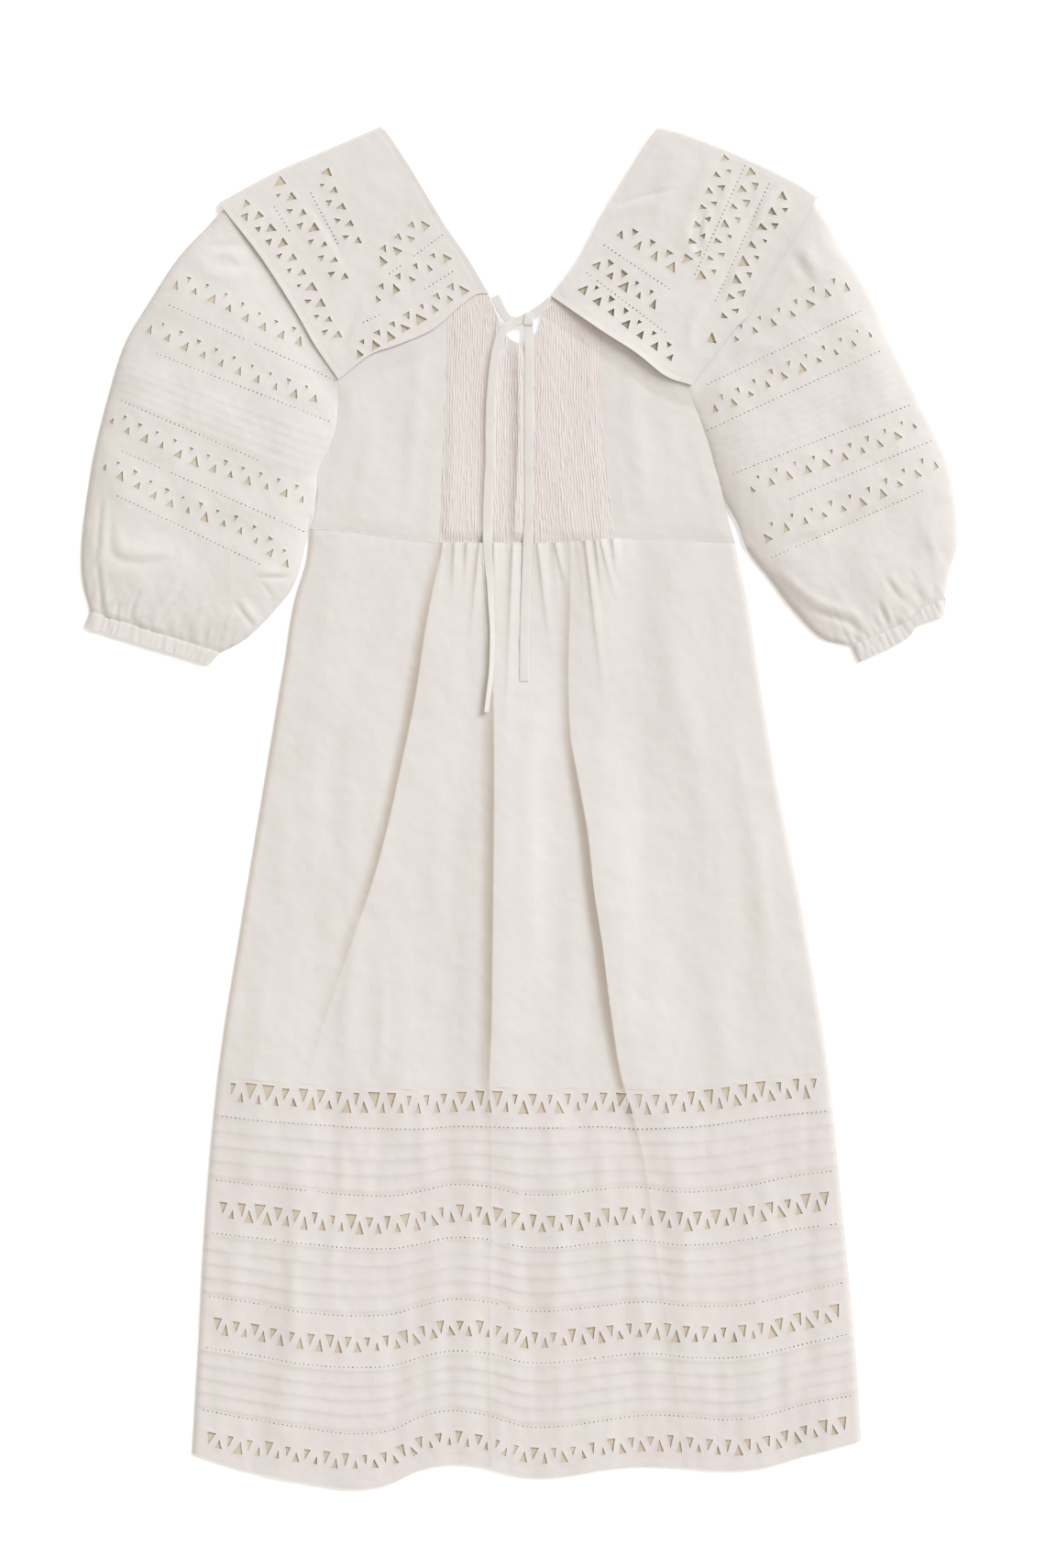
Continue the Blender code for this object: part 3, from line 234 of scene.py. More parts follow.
TUCK_LINE = (0, 0.6)   # a second line of points lies this far below each tuck's edge
RIM_CLEAR, LINE_CLEAR = 0.35, 0.62       # shares of the spacing that are kept clear of rims and lines
ROW_SPACING = 0.87     # share of the spacing between two rows of points
SAME_POINT = 1e-4      # points nearer than this are one
CUT_CLEAR, HOLE_CLEAR = 1.6, 1.2         # from a cut-out to the outline, and to a hole
SHARP_ANGLE, TIE_SHARP_ANGLE = 50, 60    # edges sharper than this, in degrees, stay sharp
LATTICE = 256          # cells each way in a pattern of drift

# Slow unevenness of cloth, each row a pattern of drift
Swell = namedtuple("Swell", "height size seed stretch")
SKIRT_SWELL = (Swell(1.2, 34, 11, 7), Swell(0.35, 15, 13, 9), Swell(0.8, 90, 12, 3))
COTTON_SWELL = (Swell(0.22, 15, 0, 1), Swell(0.12, 6, 1, 1), Swell(0.05, 2.8, 2, 1))
SKIRT_SWELL_BASE, SKIRT_SWELL_RUN = 1.0, 30
SMALL_GATHER_PITCH, SMALL_GATHER_UNEVEN = 4.3, 1.5

# Second triangle of each repeat of the cutwork, and how uneven both are
SECOND_SIZE = 0.92
UNEVEN = 0.3
BAND_HEIGHTS = (17.6, 15.6, 14.4, 13.6)  # each row of the border's cutwork, both triangles
RIM_RISE, RIM_RUN = 0.25, 1.1            # stitched rim round each cut-out

# Hemstitching: a row of small drawn holes
HEMSTITCH_PITCH, HEMSTITCH_WIDTH, HEMSTITCH_LENGTH = 3.9, 1.5, 1.6
HEMSTITCH_BELOW, HEMSTITCH_ABOVE = 13.0, 17.6
HEMSTITCH_SLEEVE_LEFT = [[(-307, 438), (-160, 372)], [(-318, 396), (-165, 336)], [(-349, 355), (-227, 302)],
                         [(-348, 311), (-187, 240)], [(-352, 272), (-225, 211)]]
HEMSTITCH_SLEEVE_RIGHT = [[(162, 368), (298, 433)], [(162, 328), (315, 398)], [(184, 290), (341, 351)],
                          [(234, 268), (360, 320)], [(218, 217), (352, 276)]]
HEMSTITCH_COLLAR_LEFT = [[(-183, 537), (-158, 490)], [(-215, 525), (-200, 501)], [(-66, 500), (-115, 464)],
                         [(-57, 468), (-84, 451)], [(-121, 430), (-138, 422)]]
HEMSTITCH_COLLAR_RIGHT = [[(197, 561), (152, 463)], [(218, 545), (170, 440)], [(72, 491), (132, 451)],
                          [(57, 467), (128, 413)]]

# Creases, as (line, width, height)
Crease = namedtuple("Crease", "line width height")


def creases(*rows):
    return [Crease(*row) for row in rows]


SKIRT_CREASES = creases(
    ([(-205, 150), (-214, 60), (-226, -40)], 9, 0.9), ([(120, 180), (150, 60), (168, -60)], 12, 1.0),
    ([(-120, 190), (-150, 90), (-176, -20)], 10, -0.5), ([(-60, 60), (-70, -60), (-78, -180)], 12, 0.8),
    ([(20, 120), (10, 0), (14, -160)], 10, 0.8), ([(190, 60), (208, -60), (226, -200)], 10, 0.9),
    ([(-140, -90), (-150, -170), (-152, -228)], 8, 1.0), ([(-118, -150), (-122, -240)], 6, 0.8),
    ([(-150, -235), (-156, -330), (-170, -430)], 7, 0.8), ([(-122, -240), (-126, -340)], 6, -0.5),
    ([(-88, -240), (-84, -330)], 6, 0.7), ([(30, -240), (34, -400), (28, -560)], 12, 0.9),
    ([(90, -300), (104, -420), (118, -560)], 9, 0.8),
    ([(-230, -240), (-246, -400), (-252, -540)], 10, 0.8),
    ([(200, -250), (226, -400), (240, -540)], 10, 0.8),
    ([(-100, -420), (-96, -520), (-104, -580)], 8, 0.8),
    ([(-24, -236), (-24, -400), (-26, -590)], 9, -0.8), ([(-8, -236), (-6, -400), (-8, -590)], 10, 1.0),
    ([(-44, -236), (-42, -420), (-46, -590)], 8, 0.7), ([(100, -262), (120, -350), (128, -450)], 9, -0.8),
    ([(122, -240), (142, -350), (150, -560)], 12, 1.2), ([(60, -236), (76, -360), (82, -520)], 9, 0.8),
    ([(-206, -236), (-214, -330), (-216, -460)], 9, -0.6),
    ([(-186, -240), (-194, -360), (-200, -540)], 9, 0.9),
    ([(160, -120), (176, -200), (184, -300)], 12, 0.9), ([(-66, -440), (-60, -590)], 8, -0.6)
)
BODICE_CREASES = creases(
    ([(-86, 400), (-92, 330), (-98, 250)], 8, 0.9), ([(-130, 360), (-136, 290), (-150, 245)], 9, 0.8),
    ([(96, 410), (100, 330), (112, 250)], 9, 0.9), ([(140, 350), (150, 300), (168, 250)], 8, -0.5)
)
BACK_KEYHOLE_SHOWN = np.array([(36, 450), (29, 432), (24, 412), (12, 401), (2, 395), (-14, 401), (-24, 414),
                               (-36, 448)])
TUCK_SHOWN, SLEEVE_TUCK_SHOWN = 0.3, 0.16
SLEEVE_PUFF = 6.6      # how far the sleeves stand up
PUFF_FROM_SIDE, PUFF_FROM_CUFF = 36, 70   # how far in from there they take to rise
PUFF_FROM_ARM, PUFF_FROM_COLLAR = 40, 75
PUFF_AT_COLLAR = 0.25  # share of the puff that is there at the collar's edge
SLEEVE_CREASE_SHARE = 0.75
CUFF_GATHER, CUFF_GATHER_RUN = 1.1, 16   # gathers above the cuff, and how far up they fade
SLEEVE_SECOND_SHIFT, SLEEVE_SECOND_SIZE = 7.2, 0.62      # place and size of the second triangle
COLLAR_SHOWN = Cutwork(16.0, 8.2, 8.2)
COLLAR_SECOND_SHIFT, COLLAR_SECOND_SIZE = 6.4, 0.7
TIE_SHELL = 0.6
TIE_SINK = 0.35        # how far the tie sinks in between the ridges of the cloth
TIE_CORNERS = 16       # points round the tie
KNOT_SINK, KNOT_GROOVE = 1.2, 0.3
KNOT_ROWS, KNOT_COLUMNS = 20, 28
TIE_TURN_SHOWN, TIE_FOLDED = 0.3, 0.5     # where it twists, the tie turns this share and folds narrower
SLEEVE_CREASES_LEFT = creases(
    ([(-365, 270), (-369, 224), (-374, 214)], 2.2, -1.0),
    ([(-360, 270), (-363, 226), (-368, 212)], 4, 1.2),
    ([(-369, 216), (-365, 176), (-364, 164)], 2.0, -1.1),
    ([(-364, 216), (-360, 176), (-359, 164)], 3, 1.0), ([(-352, 188), (-351, 167)], 1.6, -0.8),
    ([(-331, 186), (-338, 176), (-341, 160)], 1.8, -1.1),
    ([(-326, 186), (-333, 176), (-336, 160)], 3, 0.9),
    ([(-293, 191), (-304, 177), (-319, 158)], 1.8, -1.1),
    ([(-297, 196), (-309, 180), (-324, 160)], 3.4, 1.1),
    ([(-228, 200), (-214, 200), (-199, 201)], 1.8, -1.3),
    ([(-228, 205), (-214, 205), (-199, 206)], 3.5, 1.0),
    ([(-226, 197), (-220, 189), (-216, 182)], 2, -0.8),
    ([(-249, 179), (-241, 168), (-231, 155)], 1.8, -1.1),
    ([(-244, 183), (-236, 171), (-226, 158)], 3.2, 1.0),
    ([(-356, 255), (-356, 223), (-338, 213), (-301, 216)], 4.5, -1.2),
    ([(-350, 262), (-349, 230), (-332, 221), (-300, 223)], 7, 1.2),
    ([(-284, 170), (-276, 175), (-265, 180)], 2.5, 0.8),
    ([(-270, 488), (-246, 491), (-238, 496)], 4, -1.4), ([(-262, 480), (-246, 482), (-236, 486)], 6, 1.5),
    ([(-290, 484), (-261, 464), (-224, 466)], 7, 1.2), ([(-254, 478), (-244, 471), (-227, 482)], 4, -0.9),
    ([(-300, 250), (-260, 236), (-225, 226)], 9, 0.7)
)
SLEEVE_CREASES_RIGHT = creases(
    ([(312, 180), (323, 154)], 2, -1.1), ([(317, 182), (328, 156)], 3, 0.9),
    ([(318, 200), (334, 179)], 2.2, -1.1), ([(323, 203), (339, 182)], 3.5, 1.0),
    ([(339, 207), (345, 198)], 2, -0.9), ([(361, 196), (362, 184)], 2, -0.8),
    ([(219, 212), (256, 181), (292, 167), (305, 148)], 5, 1.8),
    ([(254, 171), (285, 161), (299, 151)], 3, -1.4),
    ([(222, 223), (239, 229), (259, 236), (274, 240), (294, 251), (327, 264)], 5, -1.2),
    ([(222, 231), (240, 238), (262, 245), (292, 259), (322, 272)], 8, 1.0),
    ([(230, 490), (241, 476), (252, 458)], 5, -1.4), ([(238, 496), (250, 480), (262, 462)], 6, 1.5),
    ([(262, 500), (272, 484), (284, 474)], 6, 1.0), ([(350, 250), (362, 220), (366, 200)], 5, 1.0)
)
COLLAR_LOWERED = 0.7
COLLAR_ROLL_RUN, COLLAR_ROLL, COLLAR_BACK_ROLL = 3.5, 2.6, 2.9   # both halves turn to each other at the fold
COLLAR_RISE_RUN = 25   # the front half takes this far from the fold to lift
COLLAR_LIFT_ENDS = 45  # lifted edges take this far from their ends
COLLAR_LIFTS_LEFT = [("outer", 1.2, 12), ("lower", 0.6, 10)]
COLLAR_LIFTS_RIGHT = [("lower", 4.6, 16), ("outer", 1.8, 8)]
COLLAR_CREASES_LEFT = creases(
    ([(-200, 540), (-160, 470), (-150, 430)], 14, 0.7), ([(-130, 470), (-100, 440)], 8, 0.5),
    ([(-150, 430), (-156, 395)], 5, -0.4), ([(-186, 530), (-166, 500), (-150, 470)], 3, -0.5),
    ([(-70, 492), (-100, 472), (-128, 456)], 4, 0.6), ([(-140, 440), (-150, 415), (-160, 398)], 3, -0.5)
)
COLLAR_CREASES_RIGHT = creases(
    ([(150, 570), (132, 549), (122, 525), (117, 502)], 9, 1.3),
    ([(174, 566), (160, 545), (152, 524)], 7, 0.9), ([(150, 520), (146, 500), (150, 478)], 8, 1.3),
    ([(161, 525), (156, 511), (154, 497), (157, 483)], 3.6, -1.7),
    ([(166, 524), (161, 508), (160, 492)], 4, 1.3), ([(213, 558), (199, 535), (194, 525)], 3, -1.0),
    ([(222, 544), (206, 521), (194, 487), (187, 466)], 3.4, -1.0),
    ([(227, 542), (211, 519), (199, 487)], 5, 0.9),
    ([(187, 476), (180, 461), (171, 445), (163, 433)], 3, -1.0),
    ([(193, 477), (185, 461), (176, 446)], 5, 1.0), ([(188, 556), (180, 536), (172, 512)], 5, 0.9),
    ([(81, 524), (97, 529), (114, 534), (135, 539)], 2.2, -0.9),
    ([(84, 519), (100, 523), (118, 527)], 6, 0.7), ([(140, 452), (120, 436), (96, 430)], 8, 0.8),
    ([(204, 540), (190, 510)], 4, -0.7), ([(160, 446), (150, 420), (146, 396)], 6, 0.8),
    ([(236, 536), (222, 512), (206, 486)], 4, 0.7)
)

# A record for the cut of the cloth that shows, in metres and square metres, before it was gathered; nothing
# in the script uses it

Sheet = namedtuple("Sheet", "piece width length area held on")

# The lighter and the darker tone of each cotton
PLAIN_TONES = (0.74, 0.73, 0.735), (0.705, 0.685, 0.69)
BORDER_TONES = (0.735, 0.71, 0.715), (0.705, 0.67, 0.68)
SMOCKED_TONES = (0.75, 0.715, 0.72), (0.715, 0.67, 0.68)
TIE_TONES = (0.74, 0.73, 0.735), (0.715, 0.70, 0.705)
# The inner tones are painted shade: a tan that stands for the shade seen through the cutwork, under the
# collar and on the backs' tops
PAINTED_SHADE_TONES = (0.66, 0.585, 0.475), (0.57, 0.51, 0.43)

# Camera, light and floor, the camera's aim and the height of its frame in millimetres
CAMERA_LENS, CAMERA_SENSOR = 85.0, 36.0
CAMERA_AIM = (2.4, 20.4, 4.0)
FRAME_HEIGHT = 1368.0
WORLD_COLOUR, WORLD_STRENGTH = (1.0, 0.91, 0.80, 1.0), 0.61
KEY_LIGHT = ((2.0, 1.7, 1.85), 34.0, 2.75, (0.955, 0.985, 1.0))
FLOOR_COLOUR = (0.97, 0.98, 1.0, 1.0)
FLOOR_GLOW, FLOOR_REACH = 0.25, 4.0
NO_TINT = (1.0, 1.0, 1.0)
PAINTED_WARM_SHADE = (0.97, 0.925, 0.86)         # painted warm shade: the skirt's colour is tinted where its surface faces left, away from the light


# Curves and outlines

def curve_through(points, step):
    """A smooth curve through the points, as an array of points about one step apart."""
    points = np.array(points, float)
    ends = np.vstack([2 * points[0] - points[1], points, 2 * points[-1] - points[-2]])
    out = [points[0]]
    for i in range(1, len(ends) - 2):
        before, start, end, after = ends[i - 1:i + 3]
        parts = max(1, round(float(np.linalg.norm(end - start)) / step))
        for k in range(1, parts + 1):
            t = k / parts
            out.append(0.5 * (2 * start + (end - before) * t
                              + (2 * before - 5 * start + 4 * end - after) * t * t
                              + (3 * start - before - 3 * end + after) * t ** 3))
    return np.array(out)


def closed_outline(*runs):
    """Runs that follow each other as one closed outline, anticlockwise, with no point twice."""
    points = []
    for run in runs:
        for point in run:
            if not points or np.linalg.norm(point - points[-1]) > 0.2:
                points.append(np.array(point, float))
    if np.linalg.norm(points[0] - points[-1]) < 0.2:
        points.pop()
    outline = np.array(points)
    return outline if area(outline) > 0 else outline[::-1]


def area(outline):
    x, y = outline[:, 0], outline[:, 1]
    return 0.5 * float(np.sum(x * np.roll(y, -1) - np.roll(x, -1) * y))


def moved_out(outline, distance):
    """The outline moved out by a distance, or in where it is negative."""
    ahead = np.roll(outline, -1, axis=0) - outline
    ahead /= np.linalg.norm(ahead, axis=1)[:, None]
    normal = np.stack([ahead[:, 1], -ahead[:, 0]], axis=1)
    both = normal + np.roll(normal, 1, axis=0)
    both /= np.maximum(np.sum(both * both, axis=1), 1.6)[:, None] / 2
    return outline + both * distance


def distance_to_line(points, line, closed):
    """Distance from each point to a line of points."""
    start = line if closed else line[:-1]
    end = np.roll(line, -1, axis=0) if closed else line[1:]
    run = end - start
    square = np.maximum(np.sum(run * run, axis=1), 1e-9)
    found = np.empty(len(points))
    for first in range(0, len(points), BATCH):
        x = points[first:first + BATCH, 0][:, None] - start[:, 0]
        y = points[first:first + BATCH, 1][:, None] - start[:, 1]
        along = np.clip((x * run[:, 0] + y * run[:, 1]) / square, 0, 1)
        found[first:first + BATCH] = np.hypot(x - along * run[:, 0], y - along * run[:, 1]).min(axis=1)
    return found


def is_inside(points, outline):
    x0, y0 = outline[:, 0], outline[:, 1]
    x1, y1 = np.roll(x0, -1), np.roll(y0, -1)
    slope = (x1 - x0) / np.where(y1 == y0, 1.0, y1 - y0)
    found = np.empty(len(points), bool)
    for first in range(0, len(points), BATCH):
        x, y = points[first:first + BATCH, 0][:, None], points[first:first + BATCH, 1][:, None]
        crossed = ((y0 > y) != (y1 > y)) & (x < x0 + (y - y0) * slope)
        found[first:first + BATCH] = np.sum(crossed, axis=1) % 2 == 1
    return found


def signed_distance(points, outline):
    away = distance_to_line(points, outline, True)
    return np.where(is_inside(points, outline), -away, away)


def smooth_table(steps, values, at):
    """Value of a table at any step, on a smooth curve through its rows."""
    steps, values = np.array(steps, float), np.array(values, float)
    slopes = np.gradient(values, steps)
    i = np.clip(np.searchsorted(steps, at) - 1, 0, len(steps) - 2)
    width = steps[i + 1] - steps[i]
    t = np.clip((at - steps[i]) / width, 0, 1)
    return ((2 * t ** 3 - 3 * t ** 2 + 1) * values[i] + (t ** 3 - 2 * t ** 2 + t) * width * slopes[i]
            + (3 * t ** 2 - 2 * t ** 3) * values[i + 1] + (t ** 3 - t ** 2) * width * slopes[i + 1])


# Surfaces

def drift(points, size, seed, stretch=1.0):
    """Smooth uneven heights from -1 to 1 that change over about one size, and stretch times that along Y."""
    lattice = np.random.default_rng(seed).uniform(-1, 1, (LATTICE, LATTICE))
    at = points / (size, size * stretch) + LATTICE / 2
    low = np.floor(at).astype(int)
    t = at - low
    t = t * t * (3 - 2 * t)
    i, j = low[:, 0] % LATTICE, low[:, 1] % LATTICE
    i_next, j_next = (i + 1) % LATTICE, (j + 1) % LATTICE
    left = lattice[i, j] * (1 - t[:, 1]) + lattice[i, j_next] * t[:, 1]
    right = lattice[i_next, j] * (1 - t[:, 1]) + lattice[i_next, j_next] * t[:, 1]
    return left * (1 - t[:, 0]) + right * t[:, 0]


def swelling(points, swells, seed=0):
    return sum(row.height * drift(points, row.size, row.seed + seed, row.stretch) for row in swells)


def near_points(centre, reach, tree):
    return [index for _, index, _ in tree.find_range((centre[0], centre[1], 0), reach)]


def tree_in_plane(points):
    tree = KDTree(len(points))
    for index, (x, y) in enumerate(points):
        tree.insert((x, y, 0), index)
    tree.balance()
    return tree


def outside_cuts(points, cuts, clear):
    """Which points are clear of every cut-out."""
    good = np.ones(len(points), bool)
    if len(cuts) and len(points):
        tree = tree_in_plane(points)
        for cut in cuts:
            centre = cut.mean(axis=0)
            reach = np.linalg.norm(cut - centre, axis=1).max() + clear
            near = near_points(centre, reach, tree)
            if near:
                good[near] &= signed_distance(points[near], cut) > clear
    return good


def grid_spots(outline, step):
    """Points in staggered rows over an outline's box."""
    low, high = outline.min(axis=0), outline.max(axis=0)
    rows = []
    for j, y in enumerate(np.arange(low[1] + step / 2, high[1], step * ROW_SPACING)):
        x = np.arange(low[0] + (step / 2 if j % 2 else 0), high[0], step)
        rows.append(np.stack([x, np.full_like(x, y)], axis=1))
    return np.vstack(rows)


def triangulate(outline, cuts, lines, step):
    """One side of a sheet: its points, its triangles and the sizes of its rims, whose points come first."""
    loops = [outline] + [cut if area(cut) < 0 else cut[::-1] for cut in cuts]
    rim = np.vstack(loops)
    edges = []
    loop_of = []
    for number, loop in enumerate(loops):
        first = len(loop_of)
        edges += [(first + i, first + (i + 1) % len(loop)) for i in range(len(loop))]
        loop_of += [number] * len(loop)
    clear = step * RIM_CLEAR
    free = np.vstack(lines) if len(lines) else np.empty((0, 2))
    free = free[is_inside(free, outline)]
    spots = grid_spots(outline, step)
    spots = spots[is_inside(spots, outline)]
    if len(free):
        tree = tree_in_plane(free)
        spots = spots[[tree.find((x, y, 0))[2] > step * LINE_CLEAR for x, y in spots]]
    free = np.vstack([free, spots])
    free = free[distance_to_line(free, outline, True) > clear]
    free = free[outside_cuts(free, cuts, clear)]
    flat = [Vector(point) for point in np.vstack([rim, free])]
    made, sides, faces, sources, side_sources, _ = delaunay_2d_cdt(flat, edges, [], 0, SAME_POINT, True)
    made = np.array([tuple(v) for v in made])
    faces = np.array(faces)
    where = {old: new for new, olds in enumerate(sources) for old in olds}
    number = np.full(len(made), -1)
    for old, loop in enumerate(loop_of):
        number[where[old]] = loop
    corners = number[faces]
    in_hole = (corners[:, 0] > 0) & (corners[:, 0] == corners[:, 1]) & (corners[:, 0] == corners[:, 2])
    outer = {frozenset(side) for side, olds in zip(sides, side_sources)
             if any(old < len(outline) for old in olds)}
    keep = enclosed(faces.tolist(), outer) & ~in_hole
    order = [where[i] for i in range(len(rim))]
    used = sorted(set(faces[keep].ravel().tolist()) - set(order))
    index = np.zeros(len(made), int)
    index[order + used] = np.arange(len(order) + len(used))
    return made[order + used], index[faces[keep]], [len(loop) for loop in loops]


def enclosed(faces, rim):
    """Which faces can't be reached from outside without crossing the rim."""
    beside = {}
    for i, (a, b, c) in enumerate(faces):
        for edge in (frozenset((a, b)), frozenset((b, c)), frozenset((c, a))):
            beside.setdefault(edge, []).append(i)
    outside = {on[0] for edge, on in beside.items() if len(on) == 1 and edge not in rim}
    waiting = list(outside)
    while waiting:
        a, b, c = faces[waiting.pop()]
        for edge in (frozenset((a, b)), frozenset((b, c)), frozenset((c, a))):
            if edge not in rim:
                fresh = [i for i in beside[edge] if i not in outside]
                outside.update(fresh)
                waiting += fresh
    return np.array([i not in outside for i in range(len(faces))])


def rims_raised(points, cuts):
    """The stitched rim round the cut-outs."""
    rise = np.zeros(len(points))
    if len(cuts):
        tree = tree_in_plane(points)
        for cut in cuts:
            centre = cut.mean(axis=0)
            reach = np.linalg.norm(cut - centre, axis=1).max() + 3 * RIM_RUN
            near = near_points(centre, reach, tree)
            if near:
                away = np.maximum(signed_distance(points[near], cut), 0)
                rise[near] = np.maximum(rise[near], RIM_RISE * np.exp(-(away / RIM_RUN) ** 2))
    return rise


def piece_from(name, node, points, faces, materials, sharp=None, marks=None):
    """A mesh from points in millimetres that stands for a node. Marks say which of the first faces have the
    second material."""
    mesh = bpy.data.meshes.new(name)
    mesh.from_pydata((np.array(points) * MM).tolist(), [], faces)
    mesh.validate()
    mesh.shade_smooth()
    if sharp:
        mesh.set_sharp_from_angle(angle=math.radians(sharp))
    for material in materials:
        mesh.materials.append(material)
    if marks is not None:
        kinds = np.zeros(len(mesh.polygons), int)
        kinds[:len(marks)] = marks
        mesh.polygons.foreach_set("material_index", kinds)
    piece = bpy.data.objects.new(name, mesh)
    bpy.context.scene.collection.objects.link(piece)
    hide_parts(node)
    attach(piece, "root")
    return piece


def cloth(name, node, material, outline, form, relief, cuts=(), holes=(), lines=(), step=FINE,
          inner=None, painted_shade_where=None, under_lines=(), rests=None):
    """A thin sheet that stands for a node: its form, with its relief on top, and its cut-outs through it.

    Its top takes the second material, a tan painted shade, where its mask says so, or everywhere if it has
    none.
    Its underside follows its top, or lies at the heights that rests gives.
    """
    openings = list(cuts) + list(holes)
    upper, upper_faces, counts = triangulate(outline, openings, lines, step)
    lower, lower_faces, _ = triangulate(outline, openings, under_lines, COARSE)
    top = form(upper) + relief(upper) + rims_raised(upper, cuts)
    low = form(lower) - SHELL - SLACK
    rims = sum(counts)
    low[:rims] = top[:rims] - SHELL
    if rests:
        low = rests(lower)
    shift = len(upper)
    points = np.vstack([np.column_stack([upper, top]), np.column_stack([lower, low])])
    walls = []
    first = 0
    for count in counts:
        for i in range(count):
            a, b = first + i, first + (i + 1) % count
            walls += [(a, a + shift, b + shift), (a, b + shift, b)]
        first += count
    faces = upper_faces.tolist() + (lower_faces[:, ::-1] + shift).tolist() + walls
    if not inner:
        return piece_from(name, node, points, faces, [material], SHARP_ANGLE)
    # faces marked 1 take the second material, the painted shade tone
    marks = np.ones(len(upper_faces), int)
    if painted_shade_where:
        marks[:] = painted_shade_where(upper[upper_faces].mean(axis=1))
    return piece_from(name, node, points, faces, [material, inner], SHARP_ANGLE, marks)


# Cutwork and hemstitching

def lengths_along(line):
    """How far along a line each of its points is."""
    return np.concatenate([[0], np.cumsum(np.linalg.norm(np.diff(line, axis=0), axis=1))])


def measured(line, step=2.0):
    """A line of points, through a curve if it is a short table, and how far along it each point is."""
    line = curve_through(line, step) if len(line) < 12 else np.array(line)
    return line, lengths_along(line)


def frames_along(line, places):
    """Middle and direction of a line at places measured along it."""
    line, along = measured(line)
    at = np.asarray(places) * along[-1]
    middle, ahead, behind = (np.stack([np.interp(spot, along, line[:, c]) for c in (0, 1)], axis=1)
                             for spot in (at, at + 1, at - 1))
    run = ahead - behind
    return middle, run / np.linalg.norm(run, axis=1)[:, None]


def triangle(middle, run, out, base, height, lean=0.0):
    """Three corners and the middles of the sides, the base on the out side."""
    corners = [middle + out * height / 2 - run * base / 2, middle + out * height / 2 + run * base / 2,
               middle - out * height / 2 + run * lean]
    return np.array(corners)


def cutwork_along(line, cutwork, side, outline, seed, second, second_size):
    """Both triangles of each repeat: the first along the line, the second moved towards its apex."""
    rng = np.random.default_rng(seed)
    count = max(1, round(measured(line)[1][-1] / cutwork.pitch))
    cuts = []
    for kind, offset, flip in ((0, 0.5, 1), (1, 1.0, -1)):
        middles, runs = frames_along(line, (np.arange(count - kind) + offset) / count)
        for middle, run in zip(middles, runs):
            out = np.array([-run[1], run[0]]) * side
            size = (second_size if kind else 1.0) * (1 + UNEVEN * rng.uniform(-1, 0.5))
            base = cutwork.base * size * (1 + UNEVEN * rng.uniform(-1, 0.6))
            cut = triangle(middle - out * second * kind, run, out * flip, base, cutwork.height * size,
                           rng.uniform(-0.2, 0.2) * base)
            if np.all(signed_distance(cut, outline) < -CUT_CLEAR):
                cuts.append(cut)
    return cuts


def narrowed(cut, folded_side):
    """A cut-out as it shows where the cloth turns away near a folded side."""
    middle = cut.mean(axis=0)
    width = np.clip(0.55 + distance_to_line(middle[None], folded_side, False)[0] / 70, 0.55, 1.0)
    return middle + (cut - middle) * (width, 1.0)


def hemstitch_along(line, outline, seed, share=0.9):
    """Small drawn holes along a line, some of them closed up."""
    rng = np.random.default_rng(seed)
    length = measured(line)[1][-1]
    count = max(1, round(length / HEMSTITCH_PITCH))
    middles, runs = frames_along(line, (np.arange(count) + 0.5) / count)
    shown = drift(middles, 14, seed + 1) > 2 * (1 - share) - 1.0
    holes = []
    for middle, run, open_here in zip(middles, runs, shown):
        size = rng.uniform(0.7, 1.1)
        if open_here:
            out = np.array([-run[1], run[0]])
            half_run, half_out = run * HEMSTITCH_WIDTH * size / 2, out * HEMSTITCH_LENGTH * size / 2
            hole = np.array([middle - half_out, middle + half_run, middle + half_out, middle - half_run])
            if np.all(signed_distance(hole, outline) < -CUT_CLEAR):
                holes.append(hole)
    return holes


def apart(holes, cuts, gap=HOLE_CLEAR):
    """Holes that are clear of the cut-outs and of each other."""
    if not len(cuts):
        return holes
    kept = []
    centres = np.array([cut.mean(axis=0) for cut in cuts])
    for hole in holes:
        near = np.where(np.linalg.norm(centres - hole.mean(axis=0), axis=1) < 14)[0]
        if all(np.all(signed_distance(hole, cuts[i]) > gap) for i in near):
            kept.append(hole)
    return kept


# Folds

def visual_profile(from_line, rise, fall):
    """Across a fold: it rises to the crest on its line, crisp there, and falls softly further on."""
    part = np.clip(from_line / (2 * rise) + 1, 0, 1)
    up = part ** 2.2
    down = 0.5 + 0.5 * np.cos(np.clip(from_line / fall, 0, 1) * math.pi)
    return np.where(from_line < 0, up, down)


def upwards(rows):
    return sorted(rows, key=lambda row: row.y)


def fold_form(points, folds, lift):
    total = np.zeros(len(points))
    for fold in folds:
        rows = upwards(fold.rows)
        heights = [row.y for row in rows]
        line = smooth_table(heights, [row.x for row in rows], points[:, 1])
        size = lift * np.interp(points[:, 1], heights, [row.height for row in rows])
        total = np.maximum(total, size * visual_profile(points[:, 0] - line, fold.rise, fold.fall))
    return total


def fold_lines(folds, offsets, step):
    lines = []
    for fold in folds:
        rows = upwards(fold.rows)
        y = np.arange(rows[0].y, rows[-1].y + 1, step)
        x = smooth_table([row.y for row in rows], [row.x for row in rows], y)
        for away in offsets:
            lines.append(np.stack([x + away, y], axis=1))
    return lines


